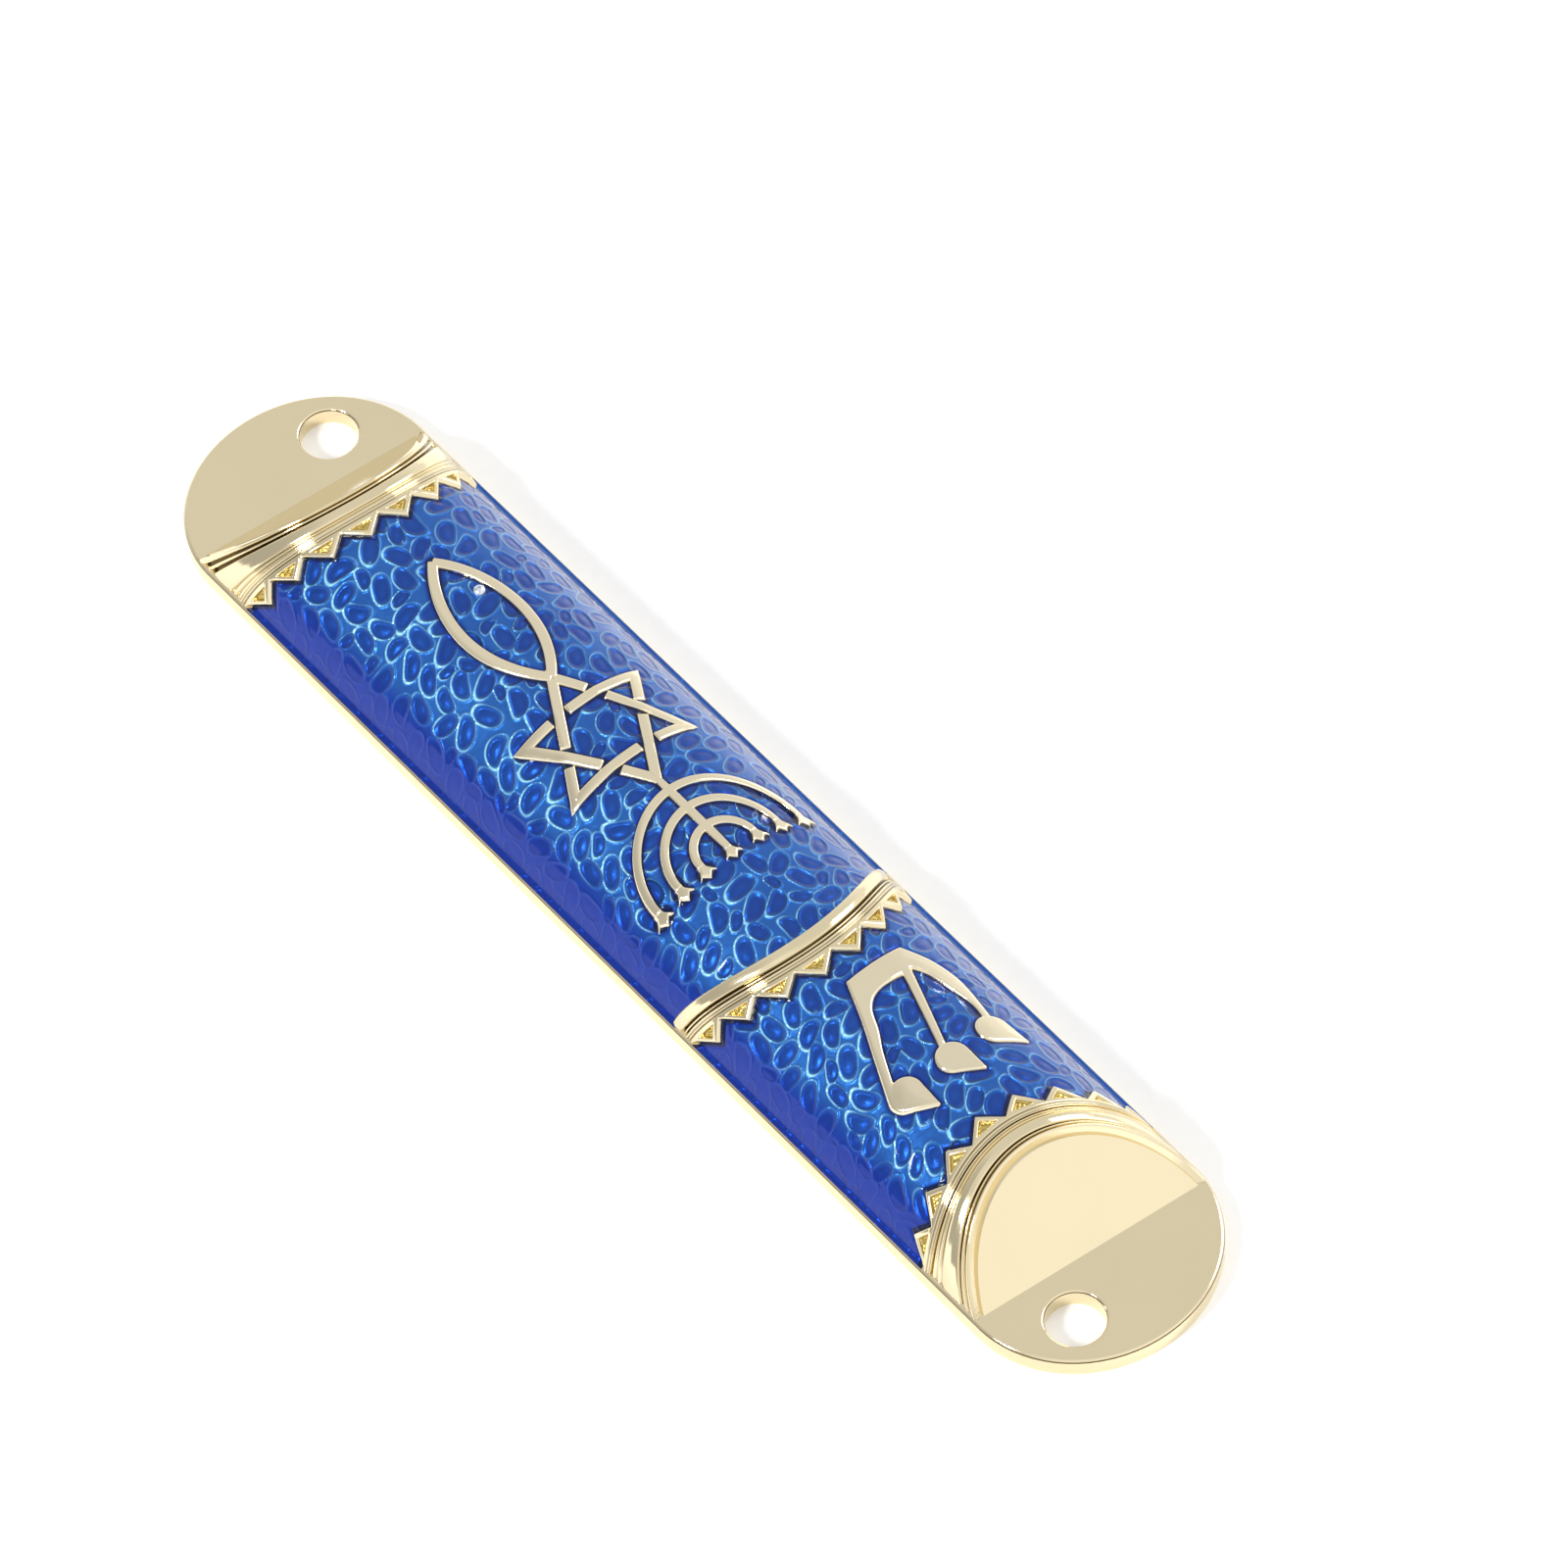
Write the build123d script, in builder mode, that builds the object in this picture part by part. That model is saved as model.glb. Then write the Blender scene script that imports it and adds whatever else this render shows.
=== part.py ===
"""Mezuzah case: a half-round cast case on a flat back plate with two screw tabs.

Frame: millimetres, +Z out of the back plate, +Y along the case towards its upper end (the end
that stands uppermost on a doorpost), origin at the middle of the back face.
"""
from build123d import *
from math import cos, radians, sin, sqrt
import os

os.makedirs("parts", exist_ok=True)

# ---- Driving dimensions -------------------------------------------------------------------
HALF_WIDTH = 12.0          # back plate, centre line to edge
STRAIGHT_HALF = 52.0       # straight run of the plate, centre to where the tab begins to round
TAB_DEPTH = 11.0           # how far each rounded tab reaches past the straight run
PLATE_T = 1.9              # thickness of plate and tabs
PLATE_EDGE_R = 0.3         # rounding of the plate's front edge

ARCH_Z = -2.0              # height of the arch's axis
CORE_R = 11.6              # arch of the cast core, under enamel and relief
ENAMEL_R = 12.05           # surface of the enamel
EMBLEM_R = 12.3            # top of the raised emblem
BAND_R = 12.4              # top of the collars and toothed bands
PIT_R = 12.08              # floor of the pits in the teeth, just above the enamel

FACET_FOOT_Y = 52.6        # where each sloping end facet meets the tab
FACET_TOP_Y = 45.1         # where it meets the crown of the arch
END_SKEW = 0.10            # both end faces and their bands lean this much across the case

HOLE_R = 2.65              # screw holes
HOLE_X = 5.4               # offset of the upper hole; the lower one mirrors it through the origin
HOLE_Y = 56.8
HOLE_EDGE_R = 0.25

TOOTH_PITCH = 17.6         # degrees round the arch
TOOTH_COUNT = 8
TOOTH_DEPTH = 1.7
TOOTH_STRIP = 1.0          # plain strip behind the teeth
PIT_INSET = 0.5            # width of the raised outline round each pit

END_TIP_Y = 40.2           # tips of the end teeth on the crown
END_BOW = 3.9              # how far the end bands sweep outwards at the plate
MIDDLE_TIP_Y = 21.1        # tips of the middle teeth on the crown
MIDDLE_BOW = -5.2          # how far the middle bands sweep back at the plate
MIDDLE_BEAD_Y = 16.3       # where the long enamel field meets the bead
MIDDLE_BEAD_W = 1.5

LINE_W = 1.0               # width of the emblem's raised lines
EMBLEM_X = -0.2            # the emblem's own centre line
FISH_NOSE_Y = -34.7
FISH_HALF_W = 3.05
STAR_Y = -11.3
STAR_R = 7.1
LAMP_Y = 5.3               # centre of the branches' half circles
BRANCH_RADII = (2.9, 5.4, 7.8)
BRANCH_W = 0.85
CUP_FOOT = 0.45            # half widths of a cup at its foot and its rim
CUP_RIM = 0.95
CUP_H = 1.2

CHAMBER_HALF_W = 6.5       # hollow for the rolled parchment
CHAMBER_HALF_L = 42.0
CHAMBER_R = 10.2           # its arched roof, about the arch's axis

COVER_T = 0.75             # sliding back cover
COVER_HALF_W = 7.5
COVER_HALF_L = 44.0
COVER_TRAVEL = 5.0
COVER_CLEAR = 0.15
COVER_Z = 0.12             # the cover's outer face lies this far inside the back face
KEY_L = 6.0                # keys on the cover's long edges
KEY_REACH = 0.9
KEY_T = 0.35
KEY_Y = 26.0
LIP_T = 0.40               # lip of the casting that holds the keys

EYE_R = 0.55
EYE_X = -1.35
EYE_Y = -29.7

LETTER_DROPS = (           # round end and point of the drop on each arm
    ((4.4, 34.2), (3.1, 37.0)),
    ((-0.7, 34.4), (-2.1, 36.9)),
    ((-5.6, 33.8), (-7.3, 36.1)),
)
DROP_R = 1.6
DROP_TIP_R = 0.15

CROWN_Z = ARCH_Z + BAND_R
TALL = 20.0                # taller than anything on the case, for cutting shapes


# ---- Helpers ------------------------------------------------------------------------------
def facet_plane(end):
    """Plane of the sloping facet at the +Y end (end = 1) or the -Y end (end = -1)."""
    slope = Vector(0, end * (FACET_TOP_Y - FACET_FOOT_Y), CROWN_Z - PLATE_T)
    chord = Vector(1, -END_SKEW, 0)
    outward = slope.cross(chord) if end < 0 else chord.cross(slope)
    if outward.Z < 0:
        outward = -outward
    return Plane(origin=(0, end * FACET_FOOT_Y, PLATE_T), x_dir=chord, z_dir=outward)


def arched_shell(inner_r, outer_r, y_low, y_high):
    """Half-round shell about the arch's axis, standing on the plate."""
    with BuildPart() as shell:
        with BuildSketch(Plane.XZ.offset(-y_high)):
            with Locations((0, ARCH_Z)):
                Circle(outer_r)
                Circle(inner_r, mode=Mode.SUBTRACT)
            with Locations((0, PLATE_T - TALL)):
                Rectangle(4 * HALF_WIDTH, 2 * TALL, mode=Mode.SUBTRACT)
        extrude(amount=y_high - y_low)
    return shell.part


def cross_edge(y, bow, skew):
    """Bowed edge across the case, wide enough to pass both sides of the arch."""
    w = HALF_WIDTH + 1
    rise = bow * (w / HALF_WIDTH) ** 2
    return ThreePointArc((-w, y + rise + skew * w), (0, y), (w, y + rise - skew * w))


def region_between(edge_a, edge_b):
    """Plan shape between two bowed edges, each given as (y on the centre line, bow, skew)."""
    with BuildSketch(Plane.XY) as region:
        with BuildLine():
            first = cross_edge(*edge_a)
            second = cross_edge(*edge_b)
            Line(first @ 0, second @ 0)
            Line(first @ 1, second @ 1)
        make_face()
    return region.sketch


def tooth_point(angle, y, bow, skew):
    """Plan position of a point on the arch, given its angle from the crown."""
    x = BAND_R * sin(radians(angle))
    return (x, y + bow * (x / HALF_WIDTH) ** 2 - skew * x)


def toothed_strip(tip_y, direction, bow, skew):
    """Strip of triangular teeth that point in direction (+1 or -1) along Y, with recessed pits."""
    valley_y = tip_y - direction * TOOTH_DEPTH
    back_y = valley_y - direction * TOOTH_STRIP
    reach = TOOTH_PITCH * TOOTH_COUNT / 2
    outline = []
    for step in range(2 * TOOTH_COUNT + 1):
        level = valley_y if step % 2 == 0 else tip_y
        outline.append(tooth_point(-reach + step * TOOTH_PITCH / 2, level, bow, skew))
    with BuildPart() as strip:
        add(arched_shell(CORE_R, BAND_R, -STRAIGHT_HALF, STRAIGHT_HALF))
        with BuildSketch(Plane.XY):
            with BuildLine():
                Polyline(*outline)
                back = cross_edge(back_y, bow, skew)
                Polyline(outline[0], ((back @ 0).X, outline[0][1]), back @ 0)
                Polyline(outline[-1], ((back @ 1).X, outline[-1][1]), back @ 1)
            make_face()
        extrude(amount=TALL, mode=Mode.INTERSECT)
        for tooth in range(TOOTH_COUNT):
            middle = -reach + (tooth + 0.5) * TOOTH_PITCH
            spread = TOOTH_PITCH / 2 - 3.2
            with BuildSketch(Plane.XY.offset(PLATE_T)):
                with BuildLine():
                    Polyline(
                        tooth_point(middle - spread, valley_y - direction * 0.1, bow, skew),
                        tooth_point(middle, tip_y - direction * 2 * PIT_INSET, bow, skew),
                        tooth_point(middle + spread, valley_y - direction * 0.1, bow, skew),
                        close=True,
                    )
                make_face()
            pit = extrude(amount=TALL, mode=Mode.PRIVATE)
            add(pit & pit_shell, mode=Mode.SUBTRACT)
    return strip.part


def raised(sketch, top_r):
    """Plan shape raised from the cast core up to top_r."""
    with BuildPart() as relief:
        add(arched_shell(CORE_R, top_r, -STRAIGHT_HALF, STRAIGHT_HALF))
        with BuildSketch(Plane.XY):
            add(sketch)
        extrude(amount=TALL, mode=Mode.INTERSECT)
    return relief.part


pit_shell = arched_shell(PIT_R, BAND_R + 1, -STRAIGHT_HALF, STRAIGHT_HALF)

# ---- Case body: plate, tabs and arched core, hollow behind ------------------------------------
with BuildPart() as core:
    with BuildSketch(Plane.XZ.offset(-FACET_FOOT_Y - 2)):
        with Locations((0, ARCH_Z)):
            Circle(CORE_R)
        with Locations((0, PLATE_T / 2 - TALL)):
            Rectangle(4 * HALF_WIDTH, 2 * TALL, mode=Mode.SUBTRACT)
    extrude(amount=2 * (FACET_FOOT_Y + 2))
    split(bisect_by=facet_plane(1), keep=Keep.BOTTOM)
    split(bisect_by=facet_plane(-1), keep=Keep.BOTTOM)

pocket_half_w = COVER_HALF_W + COVER_CLEAR
pocket_top = COVER_Z + COVER_T + COVER_CLEAR
groove_half_w = COVER_HALF_W + KEY_REACH + COVER_CLEAR
pocket_low = -COVER_HALF_L - COVER_TRAVEL - COVER_CLEAR
pocket_high = COVER_HALF_L + COVER_CLEAR
key_rows = (-KEY_Y, KEY_Y)

with BuildPart() as case_body:
    with BuildSketch(Plane.XY):
        Rectangle(2 * HALF_WIDTH, 2 * STRAIGHT_HALF)
        with Locations((0, STRAIGHT_HALF), (0, -STRAIGHT_HALF)):
            Ellipse(HALF_WIDTH, TAB_DEPTH)
    extrude(amount=PLATE_T)
    fillet(case_body.faces().sort_by(Axis.Z)[-1].edges(), PLATE_EDGE_R)
    with Locations((HOLE_X, HOLE_Y, PLATE_T), (-HOLE_X, -HOLE_Y, PLATE_T)):
        Hole(HOLE_R, depth=PLATE_T)
    hole_rims = case_body.edges().filter_by(GeomType.CIRCLE).filter_by_position(
        Axis.Z, PLATE_T - 0.01, PLATE_T + 0.01
    )
    fillet(hole_rims.filter_by(lambda rim: abs(rim.radius - HOLE_R) < 0.01), HOLE_EDGE_R)
    add(core.part)
    # Chamber for the rolled parchment, with an arched roof.
    with BuildSketch(Plane.XZ.offset(-CHAMBER_HALF_L)):
        with Locations((0, ARCH_Z)):
            Circle(CHAMBER_R)
        Rectangle(2 * CHAMBER_HALF_W, 2 * TALL, mode=Mode.INTERSECT)
        with Locations((0, -TALL)):
            Rectangle(4 * HALF_WIDTH, 2 * TALL, mode=Mode.SUBTRACT)
    extrude(amount=2 * CHAMBER_HALF_L, mode=Mode.SUBTRACT)
    # Pocket for the back cover, long enough for its travel.
    with BuildSketch(Plane.XY):
        with Locations((0, (pocket_low + pocket_high) / 2)):
            Rectangle(2 * pocket_half_w, pocket_high - pocket_low)
    extrude(amount=pocket_top, mode=Mode.SUBTRACT)
    # Grooves behind the lips, and the windows that let the cover's keys in and out.
    with BuildSketch(Plane.XY.offset(LIP_T)):
        for key_y in key_rows:
            groove_low = key_y - KEY_L / 2 - COVER_TRAVEL - COVER_CLEAR
            groove_high = key_y + KEY_L / 2 + COVER_CLEAR
            with Locations((0, (groove_low + groove_high) / 2)):
                Rectangle(2 * groove_half_w, groove_high - groove_low)
    extrude(amount=pocket_top - LIP_T, mode=Mode.SUBTRACT)
    with BuildSketch(Plane.XY):
        for key_y in key_rows:
            with Locations((0, key_y - KEY_L - COVER_CLEAR / 2)):
                Rectangle(2 * groove_half_w, KEY_L - COVER_CLEAR)
    extrude(amount=LIP_T, mode=Mode.SUBTRACT)

# ---- Sliding back cover ---------------------------------------------------------------------
with BuildPart() as back_cover:
    with BuildSketch(Plane.XY.offset(COVER_Z)):
        RectangleRounded(2 * COVER_HALF_W, 2 * COVER_HALF_L, 0.8)
    extrude(amount=COVER_T)
    with BuildSketch(Plane.XY.offset(COVER_Z + COVER_T - KEY_T)):
        with Locations(*((0, key_y) for key_y in key_rows)):
            Rectangle(2 * (COVER_HALF_W + KEY_REACH), KEY_L)
    extrude(amount=KEY_T)
    # Thumb recess, so that the cover can be pushed along.
    with BuildSketch(Plane.XY.offset(COVER_Z)):
        with Locations((0, -COVER_HALF_L + 8)):
            SlotOverall(9, 3.5)
    extrude(amount=COVER_T / 3, mode=Mode.SUBTRACT)

# ---- Collars at the two ends --------------------------------------------------------------------
tooth_back_end = END_TIP_Y + TOOTH_DEPTH + TOOTH_STRIP


def end_collar(end):
    """Collar between an end's toothed strip and its sloping facet."""
    with BuildPart() as collar:
        add(arched_shell(CORE_R, BAND_R, -FACET_FOOT_Y - 2, FACET_FOOT_Y + 2))
        with BuildSketch(Plane.XY):
            inner_edge = (end * tooth_back_end, end * END_BOW, END_SKEW)
            outer_edge = (end * (FACET_FOOT_Y + 6), end * END_BOW, END_SKEW)
            add(region_between(inner_edge, outer_edge))
        extrude(amount=TALL, mode=Mode.INTERSECT)
        split(bisect_by=facet_plane(end), keep=Keep.BOTTOM)
    return collar.part


with BuildPart() as upper_collar:
    add(end_collar(1))

with BuildPart() as lower_collar:
    add(end_collar(-1))

# ---- Toothed strips: at both ends, and one below the short field -----------------------------------
with BuildPart() as upper_teeth:
    add(toothed_strip(END_TIP_Y, -1, END_BOW, END_SKEW))

with BuildPart() as lower_teeth:
    add(toothed_strip(-END_TIP_Y, 1, -END_BOW, END_SKEW))

with BuildPart() as middle_teeth:
    add(toothed_strip(MIDDLE_TIP_Y, 1, MIDDLE_BOW, 0))

# ---- Middle band: a bead, then a flat band up to the teeth ------------------------------------------
bead_low = (MIDDLE_BEAD_Y, MIDDLE_BOW, 0)
bead_high = (MIDDLE_BEAD_Y + MIDDLE_BEAD_W, MIDDLE_BOW, 0)
band_high = (MIDDLE_TIP_Y - TOOTH_DEPTH - TOOTH_STRIP, MIDDLE_BOW, 0)

with BuildPart() as middle_bead:
    add(raised(region_between(bead_low, bead_high), BAND_R))

with BuildPart() as middle_band:
    add(raised(region_between(bead_high, band_high), EMBLEM_R))

# ---- Emblem: fish, star and branched lamp ---------------------------------------------------------
fish_tail_y = STAR_Y - STAR_R
fish_middle_y = (FISH_NOSE_Y + fish_tail_y) / 2
stem_foot_y = STAR_Y + STAR_R

with BuildSketch(Plane.XY) as fish_lines:
    with BuildLine():
        for bulge in (FISH_HALF_W, -FISH_HALF_W):
            ThreePointArc(
                (EMBLEM_X, FISH_NOSE_Y), (EMBLEM_X + bulge, fish_middle_y), (EMBLEM_X, fish_tail_y)
            )
    trace(line_width=LINE_W)

with BuildSketch(Plane.XY) as star_lines:
    for first_corner in (90, -90):
        corners = [
            (EMBLEM_X + STAR_R * cos(radians(turn)), STAR_Y + STAR_R * sin(radians(turn)))
            for turn in (first_corner, first_corner + 120, first_corner + 240)
        ]
        with BuildLine():
            Polyline(*corners, close=True)
        trace(line_width=LINE_W)
    add(fish_lines.sketch, mode=Mode.SUBTRACT)

with BuildSketch(Plane.XY) as branch_lines:
    with BuildLine():
        Line((EMBLEM_X, stem_foot_y), (EMBLEM_X, LAMP_Y))
    trace(line_width=BRANCH_W)
    for radius in BRANCH_RADII:
        with BuildLine():
            CenterArc((EMBLEM_X, LAMP_Y), radius, 180, 180)
        trace(line_width=BRANCH_W)
    add(star_lines.sketch, mode=Mode.SUBTRACT)

cup_places = [(EMBLEM_X, LAMP_Y)]
for radius in BRANCH_RADII:
    cup_places += [(EMBLEM_X - radius, LAMP_Y), (EMBLEM_X + radius, LAMP_Y)]

with BuildSketch(Plane.XY) as cup_shapes:
    with Locations(*cup_places):
        Polygon(
            (-CUP_FOOT, 0),
            (CUP_FOOT, 0),
            (CUP_RIM, CUP_H),
            (CUP_RIM / 2, CUP_H * 0.75),
            (0, CUP_H * 1.2),
            (-CUP_RIM / 2, CUP_H * 0.75),
            (-CUP_RIM, CUP_H),
            align=None,
        )

with BuildPart() as fish:
    add(raised(fish_lines.sketch, EMBLEM_R))

with BuildPart() as star:
    add(raised(star_lines.faces().sort_by(SortBy.AREA)[-1], EMBLEM_R))

with BuildPart() as lamp_branches:
    add(raised(branch_lines.sketch, EMBLEM_R))

with BuildPart() as lamp_cups:
    add(raised(cup_shapes.sketch, BAND_R))

eye_z = ARCH_Z + sqrt(ENAMEL_R**2 - EYE_X**2)
with BuildPart() as fish_eye:
    with Locations((EYE_X, EYE_Y, eye_z)):
        Sphere(EYE_R)
    add(core.part, mode=Mode.SUBTRACT)

# ---- Letter on the short field -----------------------------------------------------------------------
with BuildSketch(Plane.XY) as letter_arms:
    with BuildLine():
        Line((1.2, 22.6), (-4.9, 22.4))
        Spline((-4.9, 22.4), (-6.3, 24.8), (-6.95, 27.2), (-6.9, 29.4), (-6.4, 32.6))
        Line((-6.4, 32.6), (-5.6, 32.6))
        Spline((-5.6, 32.6), (-5.85, 30.6), (-5.45, 28.2), (-4.9, 26.2), (-4.1, 24.9))
        Polyline((-4.1, 24.9), (-1.15, 32.9), (-0.4, 32.9), (-3.05, 25.05))
        Spline((-3.05, 25.05), (-0.5, 25.1), (1.1, 26.0), (2.15, 28.1), (3.3, 30.1), (4.8, 33.4))
        Line((4.8, 33.4), (5.8, 33.4))
        Spline((5.8, 33.4), (4.2, 29.75), (2.65, 26.3), (1.2, 22.6))
    make_face()

with BuildSketch(Plane.XY) as letter_shape:
    add(letter_arms.sketch)
    for blob, tip in LETTER_DROPS:
        with BuildSketch(Plane.XY, mode=Mode.PRIVATE) as drop:
            with Locations(blob):
                Circle(DROP_R)
            with Locations(tip):
                Circle(DROP_TIP_R)
            make_hull()
        add(drop.sketch)

with BuildPart() as shin:
    add(raised(letter_shape.sketch, EMBLEM_R))

# ---- Enamel: fills the two fields round the relief ----------------------------------------------------
UNDER_TEETH = TOOTH_DEPTH + TOOTH_STRIP / 2

with BuildPart() as enamel_long:
    low_edge = (-END_TIP_Y - UNDER_TEETH, -END_BOW, END_SKEW)
    high_edge = (MIDDLE_BEAD_Y + MIDDLE_BEAD_W / 2, MIDDLE_BOW, 0)
    add(raised(region_between(low_edge, high_edge), ENAMEL_R))
    for relief in (lower_teeth, middle_bead, fish, star, lamp_branches, lamp_cups, fish_eye):
        add(relief.part, mode=Mode.SUBTRACT)

with BuildPart() as enamel_short:
    low_edge = (MIDDLE_TIP_Y - UNDER_TEETH, MIDDLE_BOW, 0)
    high_edge = (END_TIP_Y + UNDER_TEETH, END_BOW, END_SKEW)
    add(raised(region_between(low_edge, high_edge), ENAMEL_R))
    for relief in (middle_teeth, upper_teeth, shin):
        add(relief.part, mode=Mode.SUBTRACT)

# ---- Labels and files -----------------------------------------------------------------------------------
pieces = {
    "case_body": case_body,
    "back_cover": back_cover,
    "enamel_long": enamel_long,
    "enamel_short": enamel_short,
    "upper_collar": upper_collar,
    "upper_teeth": upper_teeth,
    "lower_collar": lower_collar,
    "lower_teeth": lower_teeth,
    "middle_bead": middle_bead,
    "middle_band": middle_band,
    "middle_teeth": middle_teeth,
    "fish": fish,
    "fish_eye": fish_eye,
    "star": star,
    "lamp_branches": lamp_branches,
    "lamp_cups": lamp_cups,
    "shin": shin,
}
for name, piece in pieces.items():
    piece.part.label = name
    export_step(piece.part, f"parts/{name}.step")
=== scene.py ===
"""Looks of an enamelled, pale-gold plated mezuzah case lying on its back.

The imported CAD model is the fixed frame: +Z out of the back plate, +Y towards the case's upper end.
Shapes are worked out in millimetres on the case's arch and turned to metres when a mesh is made.
"""

import logging
import math
from dataclasses import dataclass
from enum import Enum

import bpy
import numpy as np
from mathutils import Matrix, Vector


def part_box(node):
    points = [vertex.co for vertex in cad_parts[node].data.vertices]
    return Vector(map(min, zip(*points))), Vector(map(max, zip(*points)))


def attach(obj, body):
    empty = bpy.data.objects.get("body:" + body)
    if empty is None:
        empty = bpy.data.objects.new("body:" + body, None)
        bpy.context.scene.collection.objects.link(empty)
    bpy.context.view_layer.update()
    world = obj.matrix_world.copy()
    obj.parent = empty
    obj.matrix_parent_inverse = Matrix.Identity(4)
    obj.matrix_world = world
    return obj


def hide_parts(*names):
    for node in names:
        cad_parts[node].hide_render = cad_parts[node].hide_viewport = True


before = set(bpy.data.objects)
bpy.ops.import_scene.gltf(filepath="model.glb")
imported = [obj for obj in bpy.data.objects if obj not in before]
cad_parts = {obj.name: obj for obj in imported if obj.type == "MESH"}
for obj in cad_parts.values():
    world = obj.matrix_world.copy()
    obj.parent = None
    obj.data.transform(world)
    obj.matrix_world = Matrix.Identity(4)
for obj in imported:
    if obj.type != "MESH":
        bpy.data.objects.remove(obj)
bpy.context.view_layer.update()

MM = 0.001
PLATE_HALF_WIDTH = 12.0  # from the case's centre line to the back plate's edge, in millimetres
PLATE_ROUNDING = 0.3  # radius of the plate's front edge
LOG = logging.getLogger("mezuzah_case")


class End(Enum):
    """The two ends of the case, as signs along Y."""

    UPPER = 1
    LOWER = -1


def smoothstep(low: float, high: float, value: np.ndarray) -> np.ndarray:
    """Smooth ramp from 0 at low to 1 at high.

    Args:
        low: Where the ramp starts.
        high: Where it ends.
        value: Values to map.

    Returns:
        The ramp's value for each input.
    """
    t = np.clip((value - low) / (high - low), 0.0, 1.0)
    return t * t * (3.0 - 2.0 * t)


def bell(centre: float, width: float, value: np.ndarray) -> np.ndarray:
    """Smooth bump of height 1 at centre, width being its half width at 1/e."""
    return np.exp(-(((value - centre) / width) ** 2))


# ---- The arch and the edges that cross it --------------------------------------------------------


@dataclass(frozen=True)
class Arch:
    """Half-round front of the case: concentric surfaces about one axis along Y, in millimetres."""

    axis_z: float
    core_r: float
    enamel_r: float
    emblem_r: float
    band_r: float
    plate_top: float

    @classmethod
    def from_frame(cls) -> "Arch":
        """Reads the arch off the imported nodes.

        Returns:
            The arch whose crowns match the boxes of the case, its enamel, emblem and collar.
        """
        axis_z = -2.0

        def crown(node: str) -> float:
            """Radius of a node's crown above the arch's axis."""
            return round(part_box(node)[1][2] / MM - axis_z, 3)

        return cls(
            axis_z=axis_z,
            core_r=crown("case_body"),
            enamel_r=crown("enamel_long"),
            emblem_r=crown("lamp_branches"),
            band_r=crown("upper_teeth"),
            plate_top=round(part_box("upper_teeth")[0][2] / MM, 3),
        )

    def foot_angle(self, radius: float) -> float:
        """Angle from the crown at which a surface of this radius meets the plate, in radians."""
        return math.acos((self.plate_top - self.axis_z) / radius)

    def wrap(self, angle: np.ndarray, y: np.ndarray, radius: np.ndarray) -> np.ndarray:
        """Places points by their angle round the arch.

        Args:
            angle: Angle from the crown, positive towards +X, in radians.
            y: Place along the case.
            radius: Distance from the arch's axis.

        Returns:
            Points, in millimetres, with x, y and z along the last axis.
        """
        x = radius * np.sin(angle)
        z = self.axis_z + radius * np.cos(angle)
        return np.stack(np.broadcast_arrays(x, y, z), axis=-1)

    def drape(self, x: np.ndarray, y: np.ndarray, radius: np.ndarray) -> np.ndarray:
        """Places points of a plan drawing straight above themselves on the arch.

        Args:
            x: Place across the case.
            y: Place along the case.
            radius: Distance from the arch's axis.

        Returns:
            Points, in millimetres, with x, y and z along the last axis.
        """
        z = self.axis_z + np.sqrt(np.maximum(radius**2 - x**2, 0.0))
        return np.stack(np.broadcast_arrays(x, y, z), axis=-1)


@dataclass(frozen=True)
class CrossEdge:
    """An edge that crosses the arch in a shallow bow, in millimetres."""

    y: float
    bow: float
    skew: float = 0.0
    half_width: float = PLATE_HALF_WIDTH

    def at(self, x: np.ndarray) -> np.ndarray:
        """Place of the edge along the case at a distance x across it."""
        return self.y + self.bow * (x / self.half_width) ** 2 - self.skew * x

    def moved(self, distance: float) -> "CrossEdge":
        """The same edge, moved along the case."""
        return CrossEdge(self.y + distance, self.bow, self.skew, self.half_width)


@dataclass(frozen=True)
class Facet:
    """Sloping flat face at one end of the case, in millimetres."""

    end: End
    foot_y: float = 52.6
    top_y: float = 45.1
    foot_z: float = 1.9
    top_z: float = 10.4
    skew: float = 0.10

    def at(self, x: np.ndarray, z: np.ndarray) -> np.ndarray:
        """Place along the case of the face's point at x and z."""
        slope = (self.top_y - self.foot_y) / (self.top_z - self.foot_z)
        return self.end.value * (self.foot_y + slope * (z - self.foot_z)) - self.skew * x


# ---- Mesh making ---------------------------------------------------------------------------------


def new_piece(
    name: str, points_mm: np.ndarray, faces: list[np.ndarray], tones: dict[str, np.ndarray] | None = None
) -> bpy.types.Object:
    """Makes a smooth-shaded mesh object from arrays.

    Args:
        name: Object's name.
        points_mm: Vertex positions, in millimetres.
        faces: Arrays of vertex indices, one array per face size.
        tones: Named values, one per vertex, that materials read.

    Returns:
        The new object, linked to the scene.
    """
    mesh = bpy.data.meshes.new(name)
    mesh.vertices.add(len(points_mm))
    mesh.vertices.foreach_set("co", (points_mm * MM).astype(np.float32).ravel())
    sizes = np.concatenate([np.full(len(group), group.shape[1]) for group in faces])
    loops = np.concatenate([group.ravel() for group in faces]).astype(np.int32)
    mesh.loops.add(len(loops))
    mesh.loops.foreach_set("vertex_index", loops)
    mesh.polygons.add(len(sizes))
    mesh.polygons.foreach_set("loop_start", np.concatenate([[0], np.cumsum(sizes)[:-1]]).astype(np.int32))
    mesh.update(calc_edges=True)
    mesh.polygons.foreach_set("use_smooth", np.ones(len(sizes), dtype=bool))
    for tone, values in (tones or {}).items():
        layer = mesh.attributes.new(tone, "FLOAT", "POINT")
        layer.data.foreach_set("value", values.astype(np.float32))
    mesh.validate()
    piece = bpy.data.objects.new(name, mesh)
    bpy.context.scene.collection.objects.link(piece)
    return piece


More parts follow.
